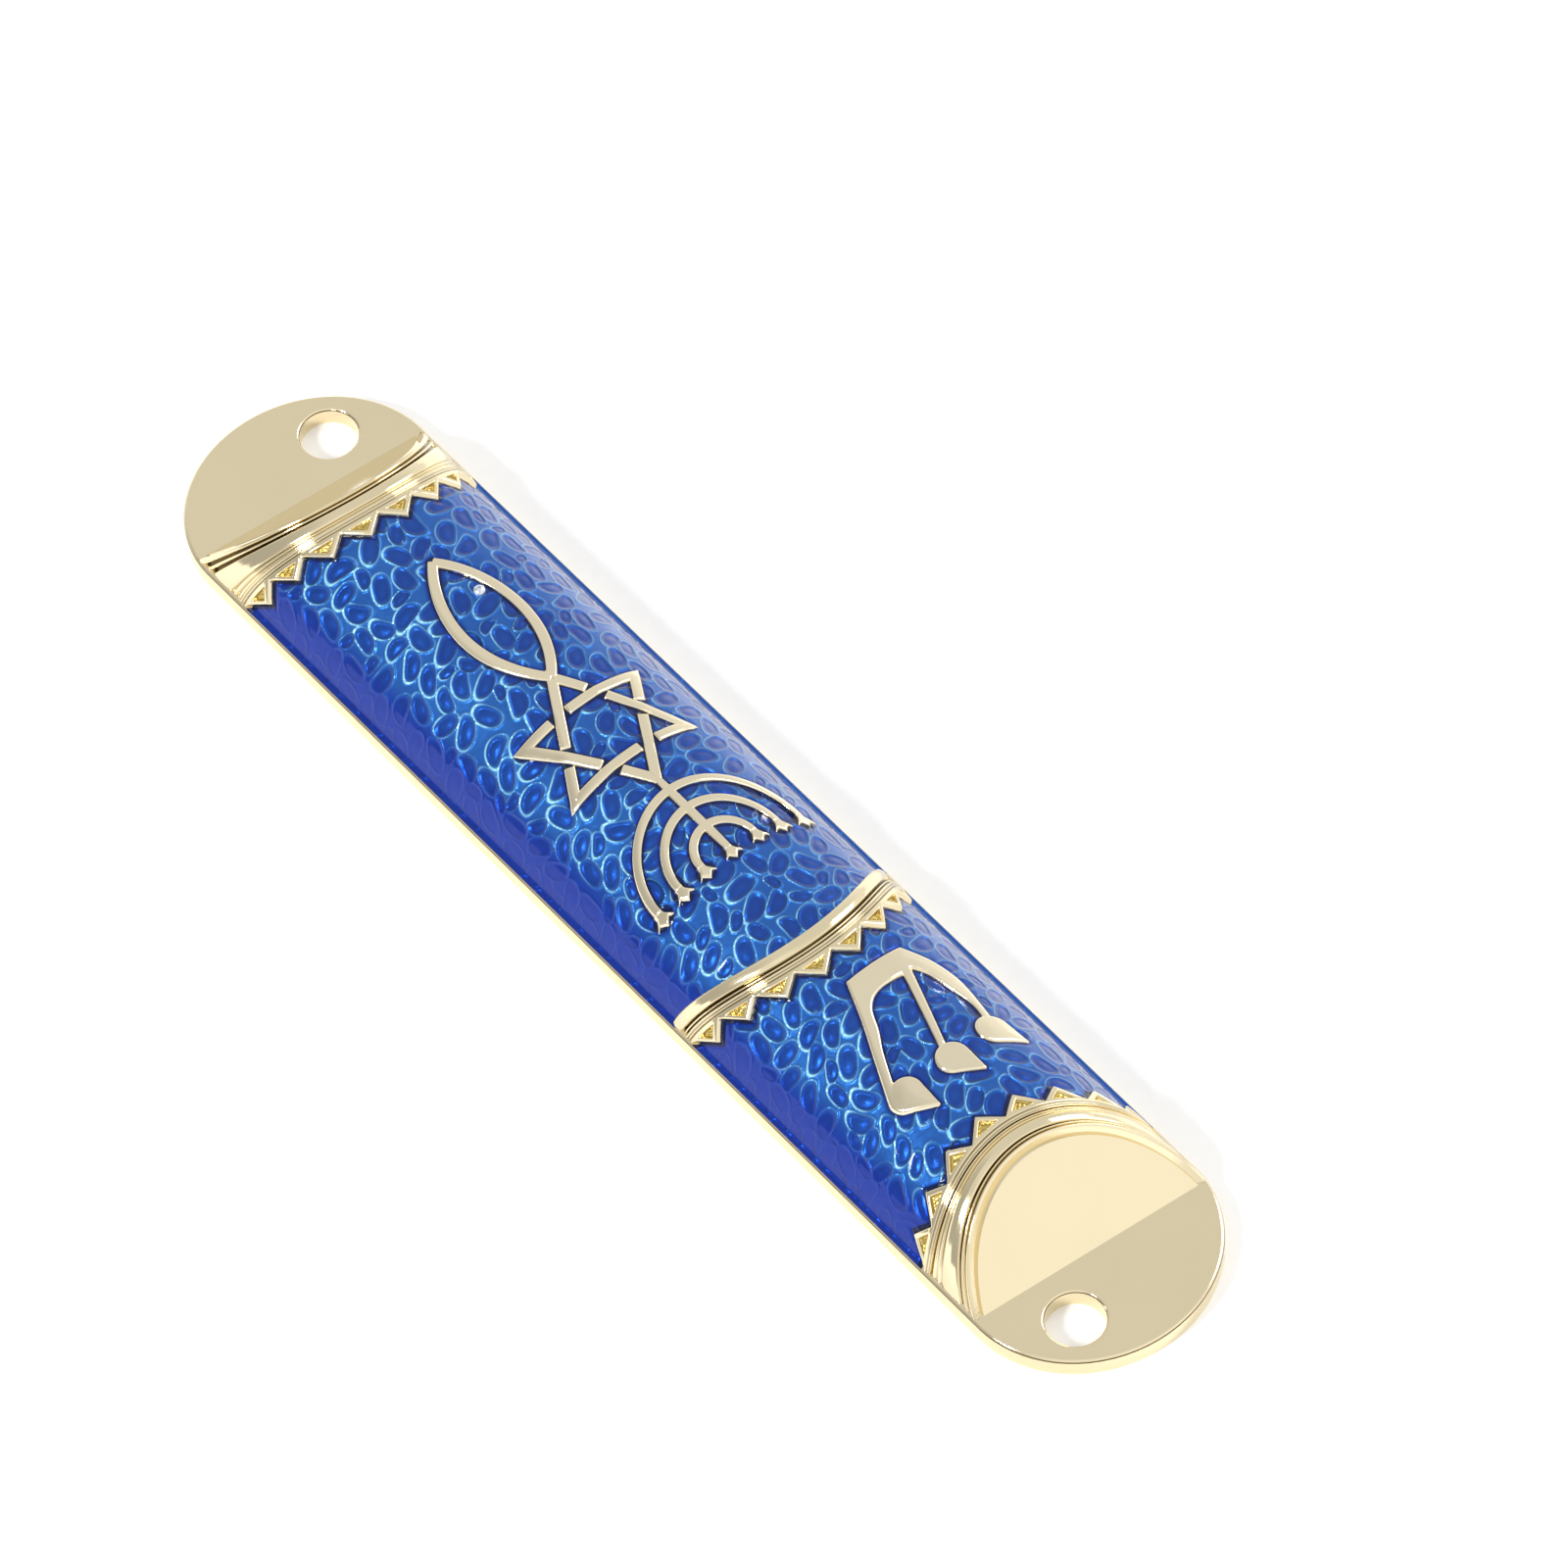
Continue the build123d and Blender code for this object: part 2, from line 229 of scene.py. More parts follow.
def relief_block(
    name: str,
    top: np.ndarray,
    base: np.ndarray,
    keep: np.ndarray | None = None,
    tones: dict[str, np.ndarray] | None = None,
) -> bpy.types.Object:
    """Closed block between a worked top surface and a plain base, both on the same grid.

    Args:
        name: Object's name.
        top: Grid of top points, rows along +Y and columns along +X, in millimetres.
        base: Grid of base points of the same shape.
        keep: Which cells are part of the piece; all of them if None.
        tones: Named values on the top grid.

    Returns:
        The new object.
    """
    rows, columns = top.shape[:2]
    keep = np.ones((rows - 1, columns - 1), bool) if keep is None else keep
    index = np.arange(rows * columns).reshape(rows, columns)
    low = index + rows * columns
    a, b, c, d = index[:-1, :-1], index[:-1, 1:], index[1:, 1:], index[1:, :-1]
    e, f, g, h = low[:-1, :-1], low[:-1, 1:], low[1:, 1:], low[1:, :-1]
    padded = np.pad(keep, 1)
    front = keep & ~padded[:-2, 1:-1]
    back = keep & ~padded[2:, 1:-1]
    left = keep & ~padded[1:-1, :-2]
    right = keep & ~padded[1:-1, 2:]
    walls = [
        np.stack([a, e, f, b], -1)[front],
        np.stack([c, g, h, d], -1)[back],
        np.stack([d, h, e, a], -1)[left],
        np.stack([b, f, g, c], -1)[right],
    ]
    skins = [np.stack([a, b, c, d], -1)[keep], np.stack([e, h, g, f], -1)[keep]]
    faces = np.concatenate(skins + walls)
    used = np.unique(faces)
    renumber = np.zeros(2 * rows * columns, np.int64)
    renumber[used] = np.arange(len(used))
    points = np.concatenate([top.reshape(-1, 3), base.reshape(-1, 3)])[used]
    kept_tones = {
        tone: np.concatenate([values.ravel(), np.zeros(rows * columns)])[used]
        for tone, values in (tones or {}).items()
    }
    piece = new_piece(name, points, [renumber[faces]], kept_tones)
    smooth = np.zeros(len(faces), bool)
    smooth[: len(skins[0])] = True
    piece.data.polygons.foreach_set("use_smooth", smooth)
    return piece


WIRE_PROFILE = (  # across a raised line: (share of the half width, drop below the top as a share)
    (-1.0, 1.0),
    (-0.98, 0.52),
    (-0.93, 0.24),
    (-0.84, 0.08),
    (-0.70, 0.02),
    (0.0, 0.0),
    (0.70, 0.02),
    (0.84, 0.08),
    (0.93, 0.24),
    (0.98, 0.52),
    (1.0, 1.0),
)


@dataclass
class Wire:
    """A raised, rounded line that follows a path drawn in plan."""

    path: np.ndarray
    half_width: np.ndarray
    top_r: np.ndarray
    closed: bool = False

    def arrays(self, arch: Arch, start: int) -> tuple[np.ndarray, list[np.ndarray]]:
        """Sweeps the profile along the path.

        Args:
            arch: The arch that the line lies on.
            start: Index of the first vertex in the mesh that takes these arrays.

        Returns:
            Points and groups of faces.
        """
        path = self.path
        if self.closed:
            before, after = np.roll(path, 1, 0), np.roll(path, -1, 0)
        else:
            before = np.vstack([2 * path[0] - path[1], path[:-1]])
            after = np.vstack([path[1:], 2 * path[-1] - path[-2]])
        came = (path - before) / np.linalg.norm(path - before, axis=1)[:, None]
        goes = (after - path) / np.linalg.norm(after - path, axis=1)[:, None]
        normal_in = np.stack([-came[:, 1], came[:, 0]], 1)
        normal_out = np.stack([-goes[:, 1], goes[:, 0]], 1)
        mitre = normal_in + normal_out
        mitre /= (1 + (normal_in * normal_out).sum(1))[:, None]
        share, drop = np.array(WIRE_PROFILE).T
        side = mitre[:, None, :] * (self.half_width[:, None] * share)[..., None]
        plan = path[:, None, :] + side
        height = np.maximum(self.top_r - arch.core_r, 0.05)
        rounding = np.minimum(height, 0.42)[:, None] * drop
        radius = self.top_r[:, None] - rounding
        radius[:, 0] = radius[:, -1] = arch.core_r - 0.1
        points = arch.drape(plan[..., 0], plan[..., 1], radius)
        count, across = points.shape[:2]
        index = start + np.arange(count * across).reshape(count, across)
        ahead = np.roll(index, -1, 0) if self.closed else index[1:]
        here = index if self.closed else index[:-1]
        quads = [np.stack([here[:, :-1], ahead[:, :-1], ahead[:, 1:], here[:, 1:]], -1).reshape(-1, 4)]
        quads.append(np.stack([here[:, -1], ahead[:, -1], ahead[:, 0], here[:, 0]], -1))
        faces = [np.concatenate(quads)]
        if not self.closed:
            faces.append(np.stack([index[0], index[-1][::-1]]))
        return points.reshape(-1, 3), faces


def wires_piece(name: str, arch: Arch, wires: list[Wire]) -> bpy.types.Object:
    """Joins raised lines into one mesh object.

    Args:
        name: Object's name.
        arch: The arch that the lines lie on.
        wires: The lines.

    Returns:
        The new object.
    """
    points: list[np.ndarray] = []
    faces: list[np.ndarray] = []
    start = 0
    for wire in wires:
        more_points, more_faces = wire.arrays(arch, start)
        points.append(more_points)
        faces.extend(more_faces)
        start += len(more_points)
    return new_piece(name, np.concatenate(points), faces)


def line_through(points: list[tuple[float, float]], step: float, closed: bool = False) -> np.ndarray:
    """Straight runs between points, divided into short steps.

    Args:
        points: Corners in plan.
        step: Length of a step.
        closed: Whether the line returns to its first corner.

    Returns:
        Points of the line in plan.
    """
    corners = np.array(points + points[:1] if closed else points, float)
    runs = []
    for first, second in zip(corners[:-1], corners[1:]):
        count = max(2, int(np.linalg.norm(second - first) / step))
        runs.append(first + (second - first) * np.linspace(0, 1, count, endpoint=False)[:, None])
    if not closed:
        runs.append(corners[-1:])
    return np.concatenate(runs)


def arc_through(
    centre: tuple[float, float], radius: float, start: float, end: float, step: float
) -> np.ndarray:
    """Circular arc in plan, divided into short steps.

    Args:
        centre: Centre of the arc.
        radius: Its radius.
        start: Angle where it starts, in degrees.
        end: Angle where it ends.
        step: Length of a step.

    Returns:
        Points of the arc.
    """
    count = max(8, int(abs(math.radians(end - start)) * radius / step))
    angle = np.radians(np.linspace(start, end, count))
    return np.stack([centre[0] + radius * np.cos(angle), centre[1] + radius * np.sin(angle)], 1)


def distance_inside(outline: np.ndarray, x: np.ndarray, y: np.ndarray) -> np.ndarray:
    """Signed distance to a closed outline, positive inside.

    Args:
        outline: Corners of the outline in plan.
        x: Grid of places across the case.
        y: Grid of places along it.

    Returns:
        The distance for each point of the grid.
    """
    nearest = np.full(x.shape, np.inf)
    inside = np.zeros(x.shape, bool)
    for (x0, y0), (x1, y1) in zip(outline, np.roll(outline, -1, 0)):
        dx, dy = x1 - x0, y1 - y0
        t = np.clip(((x - x0) * dx + (y - y0) * dy) / (dx * dx + dy * dy + 1e-12), 0, 1)
        nearest = np.minimum(nearest, np.hypot(x - x0 - t * dx, y - y0 - t * dy))
        crosses = (y0 > y) != (y1 > y)
        if dy:
            inside ^= crosses & (x < x0 + (y - y0) * dx / dy)
    return np.where(inside, nearest, -nearest)


# ---- Finishes ------------------------------------------------------------------------------------


class Graph:
    """Short way to wire a material's nodes."""

    def __init__(self, name: str) -> None:
        """Starts an empty material with an output and a Principled shader.

        Args:
            name: Material's name.
        """
        self.material = bpy.data.materials.new(name)
        self.material.use_nodes = True
        self.tree = self.material.node_tree
        self.tree.nodes.clear()
        self.output = self.tree.nodes.new("ShaderNodeOutputMaterial")
        self.shader = self.tree.nodes.new("ShaderNodeBsdfPrincipled")
        self.link(self.shader, "BSDF", self.output, "Surface")

    def link(self, source: bpy.types.Node, out: str | int, target: bpy.types.Node, into: str | int) -> None:
        """Joins one node's output to another's input."""
        self.tree.links.new(source.outputs[out], target.inputs[into])

    def add(self, kind: str, **values: object) -> bpy.types.Node:
        """Adds a node.

        Args:
            kind: Node type, without the ShaderNode prefix.
            values: Node properties, or socket values where no property has that name.

        Returns:
            The new node.
        """
        node = self.tree.nodes.new("ShaderNode" + kind)
        for key, value in values.items():
            if hasattr(node, key):
                setattr(node, key, value)
            else:
                node.inputs[key.replace("_", " ")].default_value = value
        return node

    def tone(self, name: str) -> bpy.types.Node:
        """Reads a tone that a mesh carries."""
        return self.add("Attribute", attribute_name=name)

    def place(self) -> bpy.types.Node:
        """Position in the case's own frame."""
        return self.add("TexCoord")

    def noise(self, scale: float, detail: float = 3.0, roughness: float = 0.55) -> bpy.types.Node:
        """Adds noise in the case's own frame.

        Args:
            scale: Cycles per metre.
            detail: Finer layers of noise.
            roughness: Strength of the finer layers.

        Returns:
            The noise node.
        """
        node = self.add("TexNoise", Scale=scale, Detail=detail, Roughness=roughness)
        self.link(self.place(), "Object", node, "Vector")
        return node

    def ramp(
        self, source: bpy.types.Node, out: str | int, stops: list[tuple[float, tuple[float, float, float]]]
    ) -> bpy.types.Node:
        """Colour ramp fed by a node.

        Args:
            source: Node that feeds the ramp.
            out: Its output.
            stops: Places and linear colours.

        Returns:
            The ramp.
        """
        node = self.add("ValToRGB")
        elements = node.color_ramp.elements
        while len(elements) < len(stops):
            elements.new(0.5)
        for element, (place, colour) in zip(elements, stops):
            element.position = place
            element.color = (*colour, 1.0)
        self.link(source, out, node, "Fac")
        return node

    def mix(
        self, share: bpy.types.Node, first: bpy.types.Node, second: tuple[float, float, float]
    ) -> bpy.types.Node:
        """Mixes a plain colour into another.

        Args:
            share: Node that gives the second colour's share.
            first: Node with the first colour.
            second: The second colour, linear.

        Returns:
            The mixing node, whose output 2 is the colour.
        """
        plain = self.add("RGB")
        plain.outputs[0].default_value = (*second, 1.0)
        node = self.add("Mix", data_type="RGBA")
        self.link(share, "Fac" if "Fac" in share.outputs else 0, node, 0)
        self.link(first, 2 if first.bl_idname == "ShaderNodeMix" else "Color", node, 6)
        self.link(plain, "Color", node, 7)
        return node

    def spread(self, source: bpy.types.Node, out: str | int, low: float, high: float) -> bpy.types.Node:
        """Maps a 0 to 1 value to another range.

        Args:
            source: Node that gives the value.
            out: Its output.
            low: Result for 0.
            high: Result for 1.

        Returns:
            The mapping node, whose output is Result.
        """
        node = self.add("MapRange", To_Min=low, To_Max=high)
        self.link(source, out, node, "Value")
        return node

    def bump(
        self, source: bpy.types.Node, depth: float, strength: float = 1.0, under: bpy.types.Node | None = None
    ) -> bpy.types.Node:
        """Bump of a depth in metres, over another bump if one is given.

        Args:
            source: Node whose factor is the height.
            depth: Height of the bump where the factor is 1, in metres.
            strength: Share of the bump that shows.
            under: Bump that this one lies on.

        Returns:
            The bump node.
        """
        node = self.add("Bump", Strength=strength, Distance=depth)
        self.link(source, "Fac", node, "Height")
        if under:
            self.link(under, "Normal", node, "Normal")
        return node


@dataclass(frozen=True)
class GoldPlate:
    """Pale gold plating over a cast ground, warmer in the hollows, with painted shade in the grooves and low
    on the plate's edges.
    """

    name: str
    light: tuple[float, float, float] = (0.87, 0.755, 0.505)
    deep: tuple[float, float, float] = (0.56, 0.42, 0.13)
    # colour of the painted shade in the grooves and low on the plate's edges
    shade: tuple[float, float, float] = (0.15, 0.105, 0.045)
    roughness: float = 0.10
    grain: float = 0.000004
    brushed: bool = False
    plate_top: float | None = None

    def foot_line_shade(self, g: Graph) -> bpy.types.Node:
        """Finds the thin dark line low on the plate's rounded edges, by slope and height: painted shade
        standing in for the dark reflection and contact shadow there.

        Args:
            g: The material's nodes.

        Returns:
            Node whose first output is 1 on the line and 0 elsewhere.
        """
        slope = g.add("SeparateXYZ")
        g.link(g.place(), "Normal", slope, "Vector")
        black, white = (0.0, 0.0, 0.0), (1.0, 1.0, 1.0)
        steep = g.ramp(slope, "Z", [(0.06, black), (0.16, white), (0.50, white), (0.58, black)])
        height = g.add("SeparateXYZ")
        g.link(g.place(), "Object", height, "Vector")
        low = g.add("Math", operation="LESS_THAN")
        low.inputs[1].default_value = self.plate_top - 0.00001
        g.link(height, "Z", low, 0)
        line = g.add("Math", operation="MULTIPLY")
        g.link(steep, "Color", line, 0)
        g.link(low, 0, line, 1)
        return line

    def make(self) -> bpy.types.Material:
        """Builds the material.

        Returns:
            The new material.
        """
        g = Graph(self.name)
        cloud = g.noise(130.0, 4.0)
        shade = g.ramp(cloud, "Fac", [(0.3, tuple(0.975 * c for c in self.light)), (0.7, self.light)])
        hollow = g.tone("hollow")
        warm = g.mix(hollow, shade, self.deep)
        # painted shade: the dark line low on the plate's edges for the case, the grooves elsewhere
        colour = g.mix(self.foot_line_shade(g) if self.plate_top else g.tone("groove"), warm, self.shade)
        g.link(colour, 2, g.shader, "Base Color")
        g.shader.inputs["Metallic"].default_value = 1.0
        smear = g.noise(420.0, 5.0, 0.65)
        rough = g.spread(smear, "Fac", self.roughness * 0.65, self.roughness * 1.45)
        worn = g.add("Math", operation="MULTIPLY_ADD")
        worn.inputs[1].default_value = 0.16
        g.link(hollow, "Fac", worn, 0)
        g.link(rough, "Result", worn, 2)
        g.link(worn, 0, g.shader, "Roughness")
        ripple = g.bump(g.noise(260.0, 2.0), self.grain * 3)
        fine = g.bump(g.noise(3800.0, 3.0), self.grain, 0.6, ripple)
        if self.brushed:
            stretch = g.add("Mapping")
            stretch.inputs["Scale"].default_value = (9000.0, 160.0, 9000.0)
            g.link(g.place(), "Object", stretch, "Vector")
            hairs = g.add("TexNoise", Scale=1.0, Detail=2.0)
            g.link(stretch, "Vector", hairs, "Vector")
            fine = g.bump(hairs, self.grain * 0.8, 0.8, fine)
        g.link(fine, "Normal", g.shader, "Normal")
        return g.material


@dataclass(frozen=True)
class BlueEnamel:
    """Clear blue enamel over a hammered ground: darker where it lies thick, lighter over the thin rims, with
    painted highlights on the rims, painted shade on the arch's sides and painted dark lines beside the raised
    work.
    """

    name: str
    deep: tuple[float, float, float] = (0.003, 0.030, 0.250)
    body: tuple[float, float, float] = (0.009, 0.070, 0.350)
    thin: tuple[float, float, float] = (0.026, 0.155, 0.490)
    # edge: the lightest blue, for painted highlights on the lit sides of the rims
    edge: tuple[float, float, float] = (0.320, 0.700, 0.950)
    # darker blue on the arch's sides and beside the raised work: partly enamel pooling, partly painted shade
    pooled_and_shaded: tuple[float, float, float] = (0.001, 0.024, 0.290)
    # outline: near-black painted shade in thin lines along the raised lines, the teeth and the field's ends
    outline: tuple[float, float, float] = (0.001, 0.005, 0.035)

    def make(self) -> bpy.types.Material:
        """Builds the material.

        Returns:
            The new material.
        """
        g = Graph(self.name)
        rim = g.tone("rim")
        cloud = g.noise(240.0, 4.0)
        wavy = g.add("Math", operation="MULTIPLY_ADD")
        wavy.inputs[1].default_value = 0.26
        g.link(cloud, "Fac", wavy, 0)
        g.link(rim, "Fac", wavy, 2)
        # the rim tone makes the enamel lighter where it runs thin over the rims, and adds painted highlights
        # on their lit sides
        ground = g.ramp(wavy, 0, [(0.14, self.deep), (0.40, self.body), (0.66, self.thin), (1.0, self.edge)])
        # darker blue on the arch's sides and beside the raised work: partly enamel pooling, partly painted
        # shade
        pooled_and_shaded = g.mix(g.tone("pool_and_shade"), ground, self.pooled_and_shaded)
        # near-black painted shade in thin lines along the raised work and the field's ends
        colour = g.mix(g.tone("edge_shade"), pooled_and_shaded, self.outline)
        g.link(colour, 2, g.shader, "Base Color")
        g.shader.inputs["Metallic"].default_value = 0.72
        g.shader.inputs["Specular IOR Level"].default_value = 0.06
        g.shader.inputs["Coat Weight"].default_value = 1.0
        g.shader.inputs["Coat Roughness"].default_value = 0.04
        g.shader.inputs["Coat IOR"].default_value = 1.32
        rough = g.spread(cloud, "Fac", 0.24, 0.40)
        g.link(rough, "Result", g.shader, "Roughness")
        hammered = g.bump(g.tone("ground"), 0.00030)
        grain = g.bump(g.noise(1500.0, 3.0), 0.00004, 0.8, hammered)
        g.link(grain, "Normal", g.shader, "Normal")
        return g.material


@dataclass(frozen=True)
class SilverStone:
    """Small clear stone with a silvery back."""

    name: str

    def make(self) -> bpy.types.Material:
        """Builds the material.

        Returns:
            The new material.
        """
        g = Graph(self.name)
        spots = g.noise(2600.0, 2.0)
        shade = g.ramp(spots, "Fac", [(0.35, (0.34, 0.42, 0.58)), (0.62, (0.86, 0.90, 0.96))])
        g.link(shade, "Color", g.shader, "Base Color")
        g.shader.inputs["Metallic"].default_value = 0.75
        g.shader.inputs["Coat Weight"].default_value = 1.0
        g.shader.inputs["Coat Roughness"].default_value = 0.02
        rough = g.spread(spots, "Fac", 0.08, 0.25)
        g.link(rough, "Result", g.shader, "Roughness")
        return g.material


@dataclass(frozen=True)
class StudioFloor:
    """Plain pale paper floor."""

    name: str

    def make(self) -> bpy.types.Material:
        """Builds the material.

        Returns:
            The new material.
        """
        g = Graph(self.name)
        fibres = g.noise(700.0, 3.0)
        shade = g.ramp(fibres, "Fac", [(0.2, (0.93, 0.93, 0.93)), (0.8, (0.96, 0.96, 0.96))])
        g.link(shade, "Color", g.shader, "Base Color")
        g.shader.inputs["Roughness"].default_value = 0.9
        g.shader.inputs["Specular IOR Level"].default_value = 0.1
        return g.material


def finish_piece(piece: bpy.types.Object, material: bpy.types.Material, slot: str, *nodes: str) -> None:
    """Dresses a new piece, sets it on the cast case and lets it stand for CAD nodes.

    Args:
        piece: The new object.
        material: Its finish.
        slot: The record's material slot; not used.
        nodes: CAD nodes that it replaces.
    """
    piece.data.materials.clear()
    piece.data.materials.append(material)
    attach(piece, "case")
    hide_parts(*nodes)
    LOG.info("%s: %d vertices for %s", piece.name, len(piece.data.vertices), ", ".join(nodes))


# ---- Cast case and cover -------------------------------------------------------------------------


@dataclass
class CaseShell:
    """The cast case and its sliding cover, whose CAD shapes are kept."""

    body_finish: GoldPlate
    cover_finish: GoldPlate

    def dress(self) -> None:
        """Gives the kept CAD nodes their finishes."""
        for node, finish in (("case_body", self.body_finish), ("back_cover", self.cover_finish)):
            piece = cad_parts[node]
            piece.data.materials.clear()
            piece.data.materials.append(finish.make())
            LOG.info("%s: dressed in %s", node, finish.name)


# ---- Collars, teeth and the middle band ----------------------------------------------------------

COLLAR_MOULDING = (  # across a collar from the teeth to the facet: (share of its width, radius drop)
    (0.00, 0.42),
    (0.03, 0.12),
    (0.07, 0.10),
    (0.10, 0.34),
    (0.13, 0.12),
    (0.18, 0.10),
    (0.21, 0.36),
    (0.24, 0.12),
    (0.30, 0.06),
    (0.45, 0.02),
    (0.60, 0.08),
    (0.645, 0.14),
    (0.67, 0.46),
    (0.705, 0.46),
    (0.73, 0.10),
    (0.78, 0.06),
    (0.82, 0.40),
    (0.85, 0.40),
    (0.88, 0.04),
    (0.94, 0.00),
    (1.00, 0.20),
)
BEAD_MOULDING = (
    (0.0, 0.50),
    (0.05, 0.26),
    (0.16, 0.10),
    (0.40, 0.0),
    (0.66, 0.04),
    (0.88, 0.14),
    (1.0, 0.45),
)
BAND_MOULDING = (
    (0.0, 0.48),
    (0.14, 0.46),
    (0.30, 0.16),
    (0.50, 0.16),
    (0.62, 0.44),
    (0.74, 0.42),
    (0.86, 0.14),
    (1.0, 0.12),
)


def moulding(profile: tuple[tuple[float, float], ...], share: np.ndarray) -> np.ndarray:
    """Smoothly interpolates a moulding's drop below the band's top.

    Args:
        profile: Stations across the moulding.
        share: Share of the width for each point.

    Returns:
        The drop for each point, in millimetres.
    """
    stations, drops = np.array(profile).T
    fine = np.linspace(0, 1, 801)
    line = np.interp(fine, stations, drops)
    window = np.hanning(33)
    line = np.convolve(np.pad(line, 16, mode="edge"), window / window.sum(), mode="valid")
    return np.interp(share, fine, line)


@dataclass(frozen=True)
class ToothRow:
    """A row of triangular teeth on the arch, seen as distances from their outline."""

    tips: CrossEdge
    sign: int
    depth: float = 1.7
    strip_width: float = 1.0
    pitch: float = math.radians(17.6)
    count: int = 8

    def half(self, arch: Arch) -> float:
        """Half a tooth's width at its foot, measured round the arch."""
        return self.pitch * arch.band_r / 2

    def inside(self, arch: Arch, angle: np.ndarray, along: np.ndarray) -> np.ndarray:
        """Distance inside the teeth's outline.

        Args:
            arch: The arch that carries the row.
            angle: Angle round the arch.
            along: Distance past the teeth's valleys, towards the tips.

        Returns:
            The distance, negative outside the teeth.
        """
        reach = self.pitch * self.count / 2
        turn = (angle + reach) / self.pitch
        off = np.abs((turn - np.floor(turn)) - 0.5) * 2
        half = self.half(arch)
        edge = self.depth * np.where(np.abs(angle) > reach, 0.0, 1 - off)
        return (edge - along) * half / math.hypot(half, self.depth)

    def along(self, x: np.ndarray, y: np.ndarray) -> np.ndarray:
        """Distance past the valleys of points on the case."""
        return self.sign * (y - self.tips.at(x)) + self.depth


@dataclass
class TrimBand:
    """Trim that crosses the arch: collars, bead, band and toothed strips."""

    arch: Arch
    finish: bpy.types.Material
    step: float = 0.06
    collar_rows: int = 110

    def angles(self, radius: float) -> np.ndarray:
        """Angles of a grid's columns, from one side of the arch to the other."""
        foot = self.arch.foot_angle(radius)
        return np.linspace(-foot, foot, int(2 * foot * radius / self.step))

    def strip(
        self,
        name: str,
        top_edges: tuple[np.ndarray, np.ndarray],
        base_edges: tuple[np.ndarray, np.ndarray],
        drop: np.ndarray,
    ) -> bpy.types.Object:
        """Closed strip between two edges given for every column.

        Args:
            name: The object's name.
            top_edges: Places of the top's low and high edges along the case, for each column.
            base_edges: The same for the base.
            drop: Grid of drops below the band's top.

        Returns:
            The new object.
        """
        rows = drop.shape[0]
        share = np.linspace(0, 1, rows)[:, None]
        angle = self.angles(self.arch.band_r)[None, :]
        top_y, base_y = (low + (high - low) * share for low, high in (top_edges, base_edges))
        top = self.arch.wrap(angle, top_y, self.arch.band_r - drop)
        base = self.arch.wrap(angle, base_y, np.full(drop.shape, self.arch.core_r - 0.05))
        foot = self.arch.plate_top
        top[..., 2] = np.maximum(top[..., 2], foot)
        base[..., 2] = np.maximum(base[..., 2], foot)
        # groove tone: painted shade where the moulding drops into its grooves
        return relief_block(name, top, base, tones={"groove": smoothstep(0.20, 0.40, drop)})

    def moulded(
        self, node: str, low: CrossEdge, high: CrossEdge, profile: tuple[tuple[float, float], ...]
    ) -> None:
        """Makes a band of even width with a moulded section.

        Args:
            node: CAD node of the band.
            low: Its edge towards the lower end.
            high: Its edge towards the upper end.
            profile: The moulding across it.
        """
        angle = self.angles(self.arch.band_r)
        x = self.arch.band_r * np.sin(angle)
        edges = (low.at(x), high.at(x))
        rows = int((high.y - low.y) / self.step) + 8
        share = np.linspace(0, 1, rows)[:, None] * np.ones_like(x)[None, :]
        piece = self.strip(node + "_trim", edges, edges, moulding(profile, share))
        finish_piece(piece, self.finish, "plated_trim", node)

    def collar(self, node: str, back: CrossEdge, facet: Facet) -> None:
        """Makes the collar between a toothed strip and a sloping facet.

        Args:
            node: CAD node of the collar.
            back: Edge against the toothed strip.
            facet: The facet that cuts the collar's outer side.
        """
        arch = self.arch
        angle = self.angles(arch.band_r)
        x = arch.band_r * np.sin(angle)
        sign = facet.end.value
        inner = back.at(x)
        outer = facet.at(x, arch.axis_z + (arch.band_r - 0.26) * np.cos(angle))
        base_x = arch.core_r * np.sin(angle)
        base_z = np.maximum(arch.axis_z + arch.core_r * np.cos(angle), arch.plate_top)
        base_outer = facet.at(base_x, base_z) - 0.28 * sign
        share = np.linspace(0, 1, self.collar_rows)[:, None] * np.ones_like(x)[None, :]
        drop = moulding(COLLAR_MOULDING, share)
        if sign > 0:
            piece = self.strip(node + "_trim", (inner, outer), (inner, base_outer), drop)
        else:
            piece = self.strip(node + "_trim", (outer, inner), (base_outer, inner), drop[::-1])
        finish_piece(piece, self.finish, "plated_trim", node)

    def toothed(self, node: str, row: ToothRow) -> None:
        """Makes a strip of raised triangular teeth with sunk, textured middles.

        Args:
            node: CAD node of the teeth.
            row: The row's outline.
        """
        arch = self.arch
        margin = 0.35
        angle = self.angles(arch.band_r)
        x = arch.band_r * np.sin(angle)
        rows = int((row.depth + row.strip_width + margin) / self.step)
        along = np.linspace(-row.strip_width, row.depth + margin, rows)[:, None]
        inside = row.inside(arch, angle[None, :], along)
        rise = smoothstep(-0.17, 0.15, inside)
        pit = np.minimum(inside - 0.46, along + 0.04)
        sunk = smoothstep(0.0, 0.14, pit) * 0.34
        groove = 0.20 * bell(-0.50, 0.07, along) + 0.16 * bell(-0.80, 0.06, along)
        grit = np.sin(x * 11.0)[None, :] * np.sin(along * 12.0 + x * 3.0) * 0.045 * (sunk > 0.2)
        rounding = 0.07 * bell(0.0, 0.20, inside) * (along > 0)
        top_r = arch.core_r + 0.08 + (arch.band_r - arch.core_r - 0.08) * rise
        top_r = top_r - (sunk + groove + grit + rounding) * rise
        y = row.tips.moved(-row.sign * row.depth).at(x)[None, :] + row.sign * along
        keep_points = inside > -0.30
